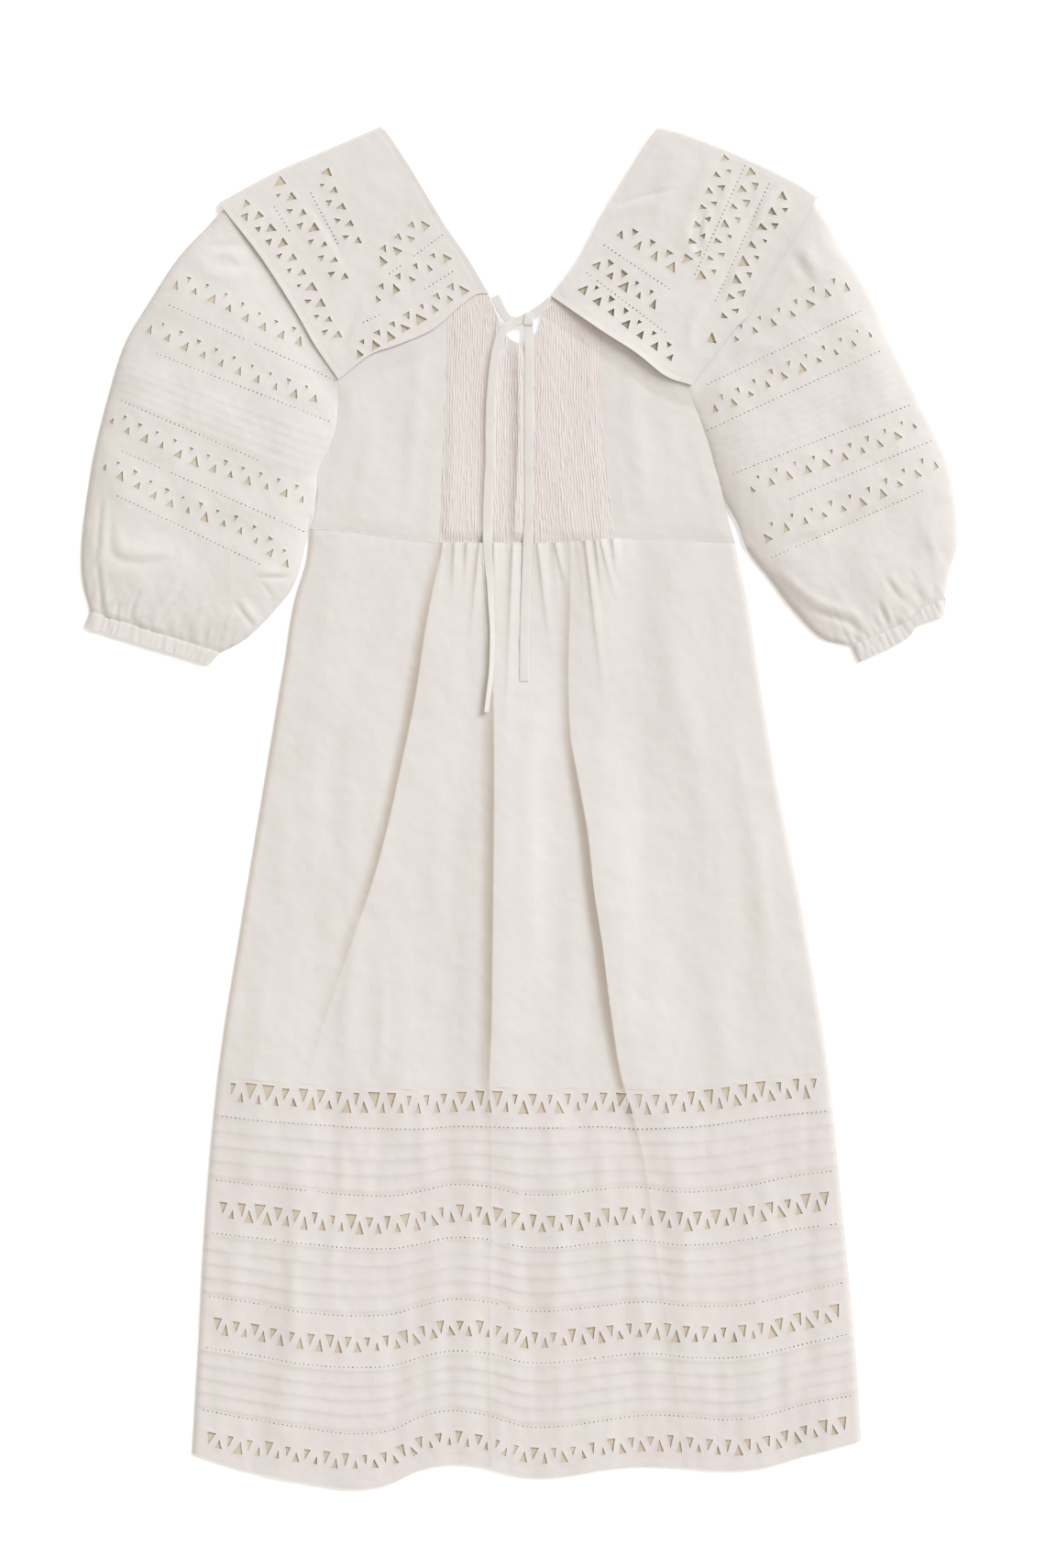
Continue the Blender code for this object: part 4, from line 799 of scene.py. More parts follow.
def crease_form(points, creases):
    """Soft troughs and ridges, each with its far side steeper, fading out at both ends."""
    total = np.zeros(len(points))
    for crease in creases:
        line, along = measured(crease.line, 3.0)
        low, high = line.min(axis=0) - 4 * crease.width, line.max(axis=0) + 4 * crease.width
        near = np.all((points > low) & (points < high), axis=1)
        if not near.any():
            continue
        start, run = line[:-1], np.diff(line, axis=0)
        inside = points[near]
        share = np.einsum("pkc,kc->pk", inside[:, None] - start[None], run) / np.sum(run * run, axis=1)
        share = np.clip(share, 0, 1)
        away = inside[:, None] - (start[None] + share[..., None] * run[None])
        distance = np.linalg.norm(away, axis=2)
        nearest = distance.argmin(axis=1)
        pick = np.arange(len(inside))
        part = (along[:-1][nearest] + share[pick, nearest] * np.diff(along)[nearest]) / along[-1]
        fade = np.sin(np.clip(part, 0.02, 0.98) * math.pi) ** 0.6
        total[near] += crease.height * fade * np.exp(-(distance[pick, nearest] / crease.width) ** 2)
    return total


def edge_turn(away):
    """How far the front turns down, that near to a folded side."""
    return EDGE_DROP * np.clip(1 - away / EDGE_RUN, 0, 1) ** 2


def bulge(away, run):
    """0 at an edge, up to 1 further in, rounded like a cushion's side."""
    t = np.clip(away / run, 0, 1)
    return (1 - (1 - t) ** 2) ** 0.75


# Layers under and beside the collar

def collar_outline(table, step=14):
    fold, outer = curve_through(table["fold"], step), curve_through(table["outer"], step)
    lower, neck = curve_through(table["lower"], step), curve_through(table["neck"], step)
    tip = outer[0] + (outer[1] - outer[0]) / np.linalg.norm(outer[1] - outer[0]) * FOLD_CORNER
    top = neck[-1] + (neck[-2] - neck[-1]) / np.linalg.norm(neck[-2] - neck[-1]) * FOLD_CORNER
    outer_rest = outer[np.linalg.norm(outer - outer[0], axis=1) > FOLD_CORNER + 0.5]
    neck_rest = neck[np.linalg.norm(neck - neck[-1], axis=1) > FOLD_CORNER + 0.5]
    return closed_outline(fold, tip[None], outer_rest, lower, neck_rest, top[None])


def from_collars(points):
    """Distance from the nearer collar's outline, less than 0 under it."""
    return np.minimum(signed_distance(points, OUTLINE_COLLAR_LEFT),
                      signed_distance(points, OUTLINE_COLLAR_RIGHT))


def well_under_collar(points):
    """Whether cloth is seen only through the collar's cutwork, and so takes the painted shade tone."""
    return from_collars(points) < -UNDER_COLLAR_INSET


def inside_of(form):
    """Height of the back's inner face under a front with that form."""
    return lambda points: np.maximum(form(points) - INNER_GAP, BACK_TOP)


def under_collar(points):
    """1 where cloth lies between the two halves of a collar, 0 well away from it."""
    near, far = COLLAR_REACH
    return np.clip((far - from_collars(points)) / (far - near), 0, 1)


def back_floor(points):
    return LAYER * under_collar(points)


def front_floor(points):
    return LAYER + (UNDER_COLLAR_RISE + UNDER_COLLAR_MORE) * under_collar(points)


def on_floor(points):
    return np.full(len(points), REST)


def over_collar(points):
    return REST + back_floor(points)


# Skirt

def skirt_side(y, side):
    rows = upwards(SKIRT_SIDES)
    return smooth_table([row.y for row in rows], [getattr(row, side) for row in rows], y)


def course_point(name, across, shift=0.0):
    """A point on one of the lines across the skirt."""
    heights = [getattr(row, name) for row in COURSES]
    y = smooth_table([row.across for row in COURSES], heights, across) + shift
    left, right = skirt_side(y, "left"), skirt_side(y, "right")
    return np.stack([left + (right - left) * across, y], axis=-1)


def course_line(name, parts, shift=0.0, inset=0.0):
    return course_point(name, np.linspace(inset, 1 - inset, parts + 1), shift)


def side_line(top, bottom, side, step):
    y = np.linspace(top, bottom, max(2, round(abs(top - bottom) / step)))
    return np.stack([skirt_side(y, side), y], axis=1)


def skirt_outline(top, top_shift, bottom, bottom_shift, parts):
    upper = course_line(top, parts, top_shift)
    lower = course_line(bottom, parts, bottom_shift)
    return closed_outline(lower, side_line(lower[-1][1], upper[-1][1], "right", 4), upper[::-1],
                          side_line(upper[0][1], lower[0][1], "left", 4))


def from_skirt_side(points):
    x, y = points[:, 0], points[:, 1]
    return np.minimum(x - skirt_side(y, "left"), skirt_side(y, "right") - x)


def above_course(points, name, shift=0.0):
    """Height of each point over one of the lines across the skirt."""
    line = course_line(name, 120, shift)
    return points[:, 1] - np.interp(points[:, 0], line[:, 0], line[:, 1])


def skirt_form(points):
    inside = np.clip(from_skirt_side(points) / SKIRT_SWELL_RUN, 0, 1)
    swell = np.maximum(SKIRT_SWELL_BASE + swelling(points, SKIRT_SWELL), 0)
    rise = fold_form(points, SKIRT_FOLDS, FOLD_LIFT) + swell * inside
    rise = rise + crease_form(points, SKIRT_CREASES) * inside
    return LAYER + CLOTH + rise - edge_turn(from_skirt_side(points))


def gather_relief(points):
    """The gathers below the waist seam, the ones in the table and small ones between them."""
    rng = np.random.default_rng(5)
    small = [Gather(x, 229, rng.uniform(14, 60), rng.uniform(-0.1, 0.12) + x * 0.0012)
             for x in np.arange(-68, 84, SMALL_GATHER_PITCH)
             + rng.uniform(-SMALL_GATHER_UNEVEN, SMALL_GATHER_UNEVEN, 36)]
    total = np.zeros(len(points))
    for gathers, height, rise, fall in ((GATHERS, 1.9, GATHER_RISE, GATHER_FALL), (small, 0.9, 1.2, 4.0)):
        for gather in gathers:
            down = gather.y + 4 - points[:, 1]
            line = gather.x + down * gather.lean
            fade = np.clip(1 - down / (1.3 * gather.length), 0, 1) ** 1.3 * (down > -6)
            total = np.maximum(total, height * fade * visual_profile(points[:, 0] - line, rise, fall))
    return total


def cloth_relief(points, seed, amount=1.0):
    """Fine unevenness of washed cotton."""
    return amount * swelling(points, COTTON_SWELL, seed)


def tuck_rows(upper, lower):
    across = np.linspace(0.004, 0.996, 230)
    start = course_point(upper, across, -SKIRT_CUTWORK[0].height - TUCK_BELOW)
    end = course_point(lower, across, TUCK_ABOVE)
    return [start * (1 - k / (TUCKS - 1)) + end * k / (TUCKS - 1) for k in range(TUCKS)]


def tucks_relief(points, tucks, rise, depth):
    total = np.zeros(len(points))
    for seed, edge in enumerate(tucks):
        edge = edge[np.argsort(edge[:, 0])]
        above = points[:, 1] - np.interp(points[:, 0], edge[:, 0], edge[:, 1])
        size = rise * (1 + 0.35 * drift(points, 30, 40 + seed))
        step = np.clip((above + 1.2) / 1.6, 0, 1)
        total = np.maximum(total, size * step * step * (3 - 2 * step) * np.clip(1 - above / depth, 0, 1))
    return total


def make_skirt(cotton, border, inner):
    waist_gap = SEAM / 2
    outline = skirt_outline("waist", -waist_gap, "row1", BORDER_SEAM, 210)

    def skirt_relief(points):
        seam = -0.3 * np.exp(-((above_course(points, "waist") + 1) / 2.0) ** 2)
        return gather_relief(points) + cloth_relief(points, 51) + seam

    lines = fold_lines(SKIRT_FOLDS, FOLD_LINES, 2.0)
    for gather in GATHERS:
        down = np.arange(0, gather.length, 1.8)
        for away in (-GATHER_RISE, -0.9, 0, 1.2):
            lines.append(np.stack([gather.x + down * gather.lean + away, gather.y + 4 - down], axis=1))
    under_lines = fold_lines(SKIRT_FOLDS, FOLD_LINES_UNDER, 8.0)
    front = cloth("skirt_front", "front_skirt", cotton, outline, skirt_form, skirt_relief,
                  lines=lines, under_lines=under_lines)

    outline = skirt_outline("row1", BORDER_SEAM, "hem", 0, 210)
    cuts, holes = [], []
    rows = ("row1", "row2", "row3", "row4")
    for number, (name, cutwork) in enumerate(zip(rows, SKIRT_CUTWORK)):
        line = course_line(name, 120, -cutwork.height / 2, 0.012)
        shift = BAND_HEIGHTS[number] - cutwork.height / 2 - cutwork.height * SECOND_SIZE / 2
        cuts += cutwork_along(line, cutwork, 1, outline, 60 + number, shift, SECOND_SIZE)
        if number < 3:
            line = course_line(name, 160, -BAND_HEIGHTS[number] - HEMSTITCH_BELOW, 0.01)
            holes += hemstitch_along(line, outline, 70 + number)
            line = course_line(rows[number + 1], 160, HEMSTITCH_ABOVE, 0.01)
            holes += hemstitch_along(line, outline, 80 + number)
    cuts = [cut for cut in cuts if np.all(from_skirt_side(cut) > 2.5)]
    holes = [hole for hole in holes if np.all(from_skirt_side(hole) > 3.5)]
    tucks = [edge for pair in zip(rows, rows[1:]) for edge in tuck_rows(*pair)]

    def border_relief(points):
        raised = tucks_relief(points, tucks, TUCK_SHOWN, TUCK_DEPTH)
        hem = 0.3 * np.clip(1 - np.abs(above_course(points, "hem") - 7) / 0.8, 0, 1)
        crumple = 0.25 * drift(points, 9, 58, 4)
        return raised + cloth_relief(points, 54) + crumple - hem

    lines = fold_lines(SKIRT_FOLDS, FOLD_LINES, 2.0)
    for edge in tucks:
        lines += [edge, edge - TUCK_LINE]
    hem = cloth("border_front", "front_border", border, outline, skirt_form, border_relief,
                cuts=cuts, holes=apart(holes, cuts), lines=lines, step=2.4, under_lines=under_lines)

    lines = fold_lines(SKIRT_FOLDS, FOLD_LINES_UNDER, 4.0)
    for name, node, top, top_shift, bottom, bottom_shift in (
            ("skirt_back", "back_skirt", "waist", -waist_gap, "row1", BORDER_SEAM),
            ("border_back", "back_border", "row1", BORDER_SEAM, "hem", BACK_INSET)):
        outline = moved_out(skirt_outline(top, top_shift, bottom, bottom_shift, 60), -BACK_INSET / 2)
        # the whole top of each back takes the painted shade tone, seen through the cutwork
        cloth(name, node, cotton, outline, inside_of(skirt_form), lambda p: cloth_relief(p, 57),
              lines=lines, step=MIDDLE, inner=inner, rests=on_floor)
    return front, hem


# Bodice

def smock_sides(y):
    left, right = curve_through(SMOCK_LEFT[::-1], 10), curve_through(SMOCK_RIGHT, 10)
    return np.interp(y, left[:, 1], left[:, 0]), np.interp(y, right[:, 1], right[:, 0])


def smock_form(points):
    hidden = under_collar(points)
    swell = 0.8 + 0.8 * drift(points, 22, 31, 5)
    folds = fold_form(points, SMOCK_FOLDS, SMOCK_FOLD_LIFT)
    x0, x1 = smock_sides(points[:, 1])
    inward = np.clip(np.minimum(points[:, 0] - x0, x1 - points[:, 0]) / 8, 0, 1)
    inward = inward * np.clip((points[:, 1] - 232) / 8, 0, 1)
    return front_floor(points) + CLOTH + (folds + swell) * (1 - hidden) * inward


def smock_relief(points):
    """Sixty fine tucks, crinkled where the stitches draw them in."""
    x0, x1 = smock_sides(points[:, 1])
    across = (points[:, 0] - x0) / (x1 - x0) * SMOCK_TUCKS
    across = across + 0.34 * drift(points, 5, 21, 2.6) + 0.2 * drift(points, 2.4, 22, 2.2)
    ridge = (0.5 + 0.5 * np.cos(across * 2 * math.pi)) ** 0.8
    crinkle = 0.72 + 0.5 * drift(points, 2.3, 23, 2.4) + 0.2 * drift(points, 9, 24, 1.5)
    seam = 0.3 * np.exp(-((points[:, 1] - 232) / 2.5) ** 2)
    return 0.6 * ridge * crinkle - 0.1 - seam


def make_bodice(cotton, smocked, inner):
    waist = course_line("waist", 300)
    corner_left, corner_right = np.array([-70, 231]), np.array([82, 236])
    on_left = waist[waist[:, 0] < corner_left[0]]
    on_right = waist[waist[:, 0] > corner_right[0]]
    middle = waist[(waist[:, 0] > corner_left[0]) & (waist[:, 0] < corner_right[0])]
    smock_left, smock_right = curve_through(SMOCK_LEFT, 2), curve_through(SMOCK_RIGHT, 2)
    outline = moved_out(closed_outline(middle, smock_right, SMOCK_TOP_RIGHT, curve_through(KEYHOLE, 2),
                                       SMOCK_TOP_LEFT, smock_left), 0.3)
    columns = []
    y = np.arange(230, 452, 1.35)
    x0, x1 = smock_sides(y)
    for k in range(1, 4 * SMOCK_TUCKS):
        columns.append(np.stack([x0 + (x1 - x0) * k / (4 * SMOCK_TUCKS), y], axis=1))
    # under the collar the panel's top takes the painted shade tone
    panel = cloth("smocking", "smocked_panel", smocked, moved_out(outline, -0.05), smock_form,
                  smock_relief, lines=columns, step=1.2, inner=inner, painted_shade_where=well_under_collar,
                  under_lines=fold_lines(SMOCK_FOLDS, (-2.0, 0.0, 3.0), 6.0))

    arm_left, arm_right = curve_through(SLEEVE_LEFT["armhole"], 4), curve_through(SLEEVE_RIGHT["armhole"], 4)
    inner_left, inner_right = curve_through(BODICE_SIDE_LEFT, 4), curve_through(BODICE_SIDE_RIGHT, 4)
    neck_left = curve_through(COLLAR_LEFT["neck"], 6)
    neck_right = curve_through(COLLAR_RIGHT["neck"], 6)[::-1]
    left = closed_outline(on_left, smock_left[::-1], SMOCK_TOP_LEFT[::-1], neck_left[1:-1], SHOULDER_LEFT,
                          arm_left[::-1], inner_left[::-1])
    right = closed_outline(on_right, inner_right, arm_right, SHOULDER_RIGHT, neck_right[1:-1],
                           SMOCK_TOP_RIGHT[::-1], smock_right[::-1])
    for name, outline, seed in (("left", left, 61), ("right", right, 65)):

        def form(points, seed=seed):
            swell = 0.6 + 0.7 * drift(points, 30, seed, 3) + crease_form(points, BODICE_CREASES)
            inward = np.clip(-signed_distance(points, outline) / 12, 0, 1)
            return front_floor(points) + CLOTH + swell * (1 - under_collar(points)) * inward

        def relief(points, seed=seed):
            seam = -0.3 * np.exp(-((above_course(points, "waist") - 1) / 2.0) ** 2)
            return cloth_relief(points, seed + 1) + seam

        # under the collar the side's top takes the painted shade tone
        cloth(f"bodice_{name}", f"bodice_side_{name}", cotton, moved_out(outline, -0.05),
              form, relief, inner=inner, painted_shade_where=well_under_collar)

    outline = closed_outline(waist[::4], inner_right, arm_right, SHOULDER_RIGHT, neck_right[1:-3],
                             BACK_KEYHOLE_SHOWN, neck_left[3:-1], SHOULDER_LEFT, arm_left[::-1],
                             inner_left[::-1])
    # the back bodice's top takes the painted shade tone
    cloth("bodice_back", "back_bodice", cotton, moved_out(outline, -BACK_INSET),
          lambda p: back_floor(p) + BACK_TOP, lambda p: 0.2 + 0.5 * cloth_relief(p, 68), step=7.0,
          inner=inner, rests=over_collar)
    return panel


# Sleeves and cuffs

def make_sleeve(side, table, collar, creased, hemstitches, seed, cotton, inner):
    outer, cuff = curve_through(table["outer"], 4), curve_through(table["cuff"], 3)
    inside, armhole = curve_through(table["inner"], 4), curve_through(table["armhole"], 4)
    cap = curve_through(table["cap"], 4)
    outline = moved_out(closed_outline(outer, cuff, inside, armhole, cap), -0.05)
    cuts, holes = [], []
    for number, row in enumerate(table["rows"]):
        cuts += cutwork_along(row, SLEEVE_CUTWORK, -1, outline, seed + number, SLEEVE_SECOND_SHIFT,
                              SLEEVE_SECOND_SIZE)
    cuts = [narrowed(cut, outer) for cut in cuts]
    for number, row in enumerate(hemstitches):
        holes += hemstitch_along(row, outline, seed + 10 + number, 0.95)
    run = (cuff[-1] - cuff[0]) / np.linalg.norm(cuff[-1] - cuff[0])
    hem_side = curve_through(table["inner"][:5], 4)
    tucks = []
    for k in range(SLEEVE_TUCKS):
        t = k / (SLEEVE_TUCKS - 1)
        between = [np.array(a) * (1 - t) + np.array(b) * t for a, b in zip(*table["tucks"])]
        tucks.append(curve_through(between, 3))

    def form(points):
        open_cloth = 1 - under_collar(points)
        outer_away = distance_to_line(points, outer, False)
        side_away = np.minimum(outer_away, distance_to_line(points, inside, False))
        cuff_away = distance_to_line(points, cuff, False)
        arm_away = distance_to_line(points, armhole, False)
        puff = SLEEVE_PUFF * bulge(side_away, PUFF_FROM_SIDE) * bulge(cuff_away, PUFF_FROM_CUFF)
        puff = puff * bulge(arm_away + 10, PUFF_FROM_ARM)
        collar_share = bulge(signed_distance(points, collar), PUFF_FROM_COLLAR)
        puff = puff * (PUFF_AT_COLLAR + (1 - PUFF_AT_COLLAR) * collar_share)
        puff = puff * (1 + 0.16 * drift(points, 34, seed + 20))
        puff = puff + 0.5 * drift(points, 20, seed + 21) * np.clip(side_away / 20, 0, 1)
        silhouette = np.minimum(outer_away, distance_to_line(points, hem_side, False))
        inward = np.clip(silhouette / 6, 0, 1)
        rise = open_cloth * (puff + SLEEVE_CREASE_SHARE * crease_form(points, creased) * inward)
        return front_floor(points) + CLOTH + rise - edge_turn(silhouette)

    def relief(points):
        above = distance_to_line(points, cuff, False)
        along = (points - cuff[0]) @ run
        spread = np.stack([along, above * 0.22], axis=1)
        gathers = 0.5 + drift(spread, 3.2, seed + 30) + 0.6 * drift(spread, 8, seed + 31)
        gathers = CUFF_GATHER * gathers * np.exp(-above / CUFF_GATHER_RUN) * np.clip(above / 4, 0.3, 1)
        raised = tucks_relief(points, tucks, SLEEVE_TUCK_SHOWN, SLEEVE_TUCK_DEPTH)
        return (gathers + raised + cloth_relief(points, seed + 32, 1.2)) * (1 - 0.8 * under_collar(points))

    lines = []
    for edge in tucks:
        lines += [edge, edge - TUCK_LINE]
    # under the collar the sleeve's top takes the painted shade tone; the sleeve's back takes it all over
    cloth(f"sleeve_{side}", f"sleeve_{side}_front", cotton, outline, form, relief, cuts=cuts,
          holes=apart(holes, cuts), lines=lines, step=1.9, inner=inner, painted_shade_where=well_under_collar)
    cloth(f"sleeve_{side}_under", f"sleeve_{side}_back", cotton, moved_out(outline, -BACK_INSET),
          inside_of(form), lambda p: 0.5 * cloth_relief(p, seed + 35), step=MIDDLE, inner=inner,
          rests=over_collar)

    band = moved_out(closed_outline(cuff, curve_through(table["mouth"], 3)), 0.3)
    ends = [np.array([cuff[0], table["mouth"][-1]]), np.array([cuff[-1], table["mouth"][0]])]

    def band_form(points):
        away = np.minimum(distance_to_line(points, ends[0], False), distance_to_line(points, ends[1], False))
        return LAYER + CLOTH + 0.8 * bulge(away, 8) - edge_turn(away)

    def band_relief(points):
        above = distance_to_line(points, cuff, False)
        spread = np.stack([(points - cuff[0]) @ run, above * 0.15], axis=1)
        return (0.45 * drift(spread, 2.2, seed + 40) + 0.3 * drift(spread, 6, seed + 41)
                - 0.35 * np.exp(-(above / 1.2) ** 2))

    cloth(f"cuff_{side}", f"cuff_{side}_front", cotton, band, band_form, band_relief, step=1.3)
    # the cuff's back takes the painted shade tone on its top
    cloth(f"cuff_{side}_under", f"cuff_{side}_back", cotton, moved_out(band, -0.5),
          lambda p: np.full(len(p), BACK_TOP), lambda p: 0.5 * cloth_relief(p, seed + 42), step=5.0,
          inner=inner, rests=on_floor)


# Collar

def make_collar(side, table, lifts, hemstitches, creased, seed, cotton, inner):
    outline = collar_outline(table, 3)
    fold = curve_through(table["fold"], 3)
    cuts, holes = [], []
    for number, row in enumerate(table["rows"]):
        cuts += cutwork_along(row, COLLAR_SHOWN, 1 if side == "left" else -1, outline, seed + number,
                              COLLAR_SECOND_SHIFT, COLLAR_SECOND_SIZE)
    for number, row in enumerate(hemstitches):
        holes += hemstitch_along(row, outline, seed + 10 + number)
    edges = [(curve_through(table[edge], 3), height, run) for edge, height, run in lifts]

    def roll(points):
        return np.clip(1 - distance_to_line(points, fold, False) / COLLAR_ROLL_RUN, 0, 1) ** 2

    def form(points):
        rise = 0.5 + 0.4 * drift(points, 45, seed + 20)
        for line, height, run in edges:
            ends = np.minimum(np.linalg.norm(points - line[0], axis=1),
                              np.linalg.norm(points - line[-1], axis=1))
            lift = height * np.exp(-distance_to_line(points, line, False) / run)
            rise = rise + lift * np.clip(ends / COLLAR_LIFT_ENDS, 0.2, 1)
        rise = np.maximum(rise + crease_form(points, creased), 0)
        rise = rise * np.clip(distance_to_line(points, fold, False) / COLLAR_RISE_RUN, 0, 1)
        return COLLAR_FLOOR + CLOTH - COLLAR_LOWERED + rise - COLLAR_ROLL * roll(points)

    def relief(points):
        hem = 0.3 * np.exp(-((distance_to_line(points, outline, True) - 4.5) / 0.7) ** 2)
        return cloth_relief(points, seed + 21) - hem

    cloth(f"collar_{side}", f"collar_{side}_front", cotton, outline, form, relief, cuts=cuts,
          holes=apart(holes, cuts), step=1.9)
    # the collar's back half takes the painted shade tone where it lies well under the collar
    cloth(f"collar_{side}_under", f"collar_{side}_back", cotton, outline,
          lambda p: BACK_TOP + COLLAR_BACK_ROLL * roll(p), lambda p: 0.5 * cloth_relief(p, seed + 22),
          step=3.0, inner=inner, painted_shade_where=well_under_collar, rests=on_floor)


# Neck tie

def tree_of(pieces):
    points, faces = [], []
    for piece in pieces:
        shift = len(points)
        points += [v.co.copy() for v in piece.data.vertices]
        faces += [[i + shift for i in face.vertices] for face in piece.data.polygons]
    return BVHTree.FromPolygons(points, faces)


def resting_height(tree, middle, side):
    """Highest cloth under a strap's width, or nothing."""
    found = []
    for reach in np.linspace(-TIE_WIDTH / 2 - 0.5, TIE_WIDTH / 2 + 0.5, 9):
        x, y = middle + side * reach
        hit = tree.ray_cast(Vector((x * MM, y * MM, 1)), Vector((0, 0, -1)))
        if hit[0]:
            found.append(hit[0].z / MM)
    return max(found, default=None)


def make_tie(name, node, table, tree, material):
    """A narrow flat strap with rolled sides, lying on the cloth, and the points of its middle line."""
    route = curve_through([(row.x, row.y) for row in table], 4)
    knots = np.concatenate([[0], np.cumsum([math.dist(a[:2], b[:2]) for a, b in zip(table, table[1:])])])
    along = lengths_along(route)
    rolls = np.radians(np.interp(along / along[-1], knots / knots[-1], [row.roll for row in table]))
    runs = np.gradient(route, axis=0)
    runs /= np.linalg.norm(runs, axis=1)[:, None]
    sides = np.stack([runs[:, 1], -runs[:, 0]], axis=1)
    floor = np.array([max(TIE_OVER_GAP, (resting_height(tree, middle, side) or 0) - TIE_SINK)
                      for middle, side in zip(route, sides)])
    spread = np.array([floor[max(0, i - 2):i + 3].max() for i in range(len(floor))])
    floor = np.array([spread[max(0, i - 1):i + 2].mean() for i in range(len(spread))])
    floor = np.maximum(floor, spread - 0.3)
    ring = []
    for turn in np.linspace(0, 2 * math.pi, TIE_CORNERS, endpoint=False):
        flat = np.sign(math.cos(turn)) * abs(math.cos(turn)) ** 0.45 * TIE_WIDTH / 2
        thick = np.sign(math.sin(turn)) * abs(math.sin(turn)) ** 0.7 * TIE_SHELL / 2
        ring.append((flat, thick + 0.05 * (abs(flat) / TIE_WIDTH * 2) ** 6))
    points, middles = [], []
    ripple = drift(route, 9, 91, 1.0)
    for i, (x, y) in enumerate(route):
        side = np.array([sides[i][0], sides[i][1], 0.0])
        turn = TIE_TURN_SHOWN * rolls[i] + 0.05 * ripple[i]
        across = side * math.cos(turn) + np.array([0, 0, 1.0]) * math.sin(turn)
        normal = np.array([0, 0, 1.0]) * math.cos(turn) - side * math.sin(turn)
        half = abs(math.sin(turn)) * TIE_WIDTH / 2 + abs(math.cos(turn)) * TIE_SHELL / 2
        middle = np.array([x, y, floor[i] + half])
        middles.append(middle)
        width = 1 + 0.05 * drift(route[i:i + 1], 13, 92)[0]
        width = width * (1 - TIE_FOLDED * math.sin(rolls[i]))
        points += [tuple(middle + across * a * width + normal * n) for a, n in ring]
    faces = [tuple(range(len(ring)))]
    for i in range(len(route) - 1):
        for k in range(len(ring)):
            a, b = len(ring) * i + k, len(ring) * i + (k + 1) % len(ring)
            faces.append((a, a + len(ring), b + len(ring), b))
    last = len(ring) * (len(route) - 1)
    faces.append(tuple(last + k for k in reversed(range(len(ring)))))
    piece = piece_from(name, node, points, faces, [material], TIE_SHARP_ANGLE)
    return piece, np.array(middles) * MM


def make_knot(tree, material):
    """The knot: one turn of the strap pulled round the other, soft at its corners."""
    width, depth, height = KNOT_SIZE
    side = np.array([1.0, 0.0])
    floor = resting_height(tree, np.array(KNOT_AT), side) - KNOT_SINK
    rows, columns = KNOT_ROWS, KNOT_COLUMNS
    points = []
    for i in range(rows + 1):
        polar = math.pi * i / rows
        for k in range(columns):
            turn = 2 * math.pi * k / columns
            x = np.sign(math.cos(turn)) * abs(math.cos(turn)) ** 0.35 * math.sin(polar) ** 0.3
            y = np.sign(math.sin(turn)) * abs(math.sin(turn)) ** 0.35 * math.sin(polar) ** 0.3
            z = np.sign(math.cos(polar)) * abs(math.cos(polar)) ** 0.7
            upright = math.exp(-((x - 0.3 * y - 0.3) / 0.14) ** 2)
            level = math.exp(-((y - 0.2 * x - 0.35) / 0.13) ** 2)
            groove = KNOT_GROOVE * upright + KNOT_GROOVE * level
            points.append((KNOT_AT[0] + x * width / 2 * (1 - 0.1 * y), KNOT_AT[1] + y * depth / 2,
                           floor + height / 2 + z * height / 2 * (1 - groove * (z > 0))))
    faces = []
    for i in range(rows):
        for k in range(columns):
            a, b = i * columns + k, i * columns + (k + 1) % columns
            faces.append((a, a + columns, b + columns, b))
    return piece_from("knot", "tie_knot", points, faces, [material])


# Materials

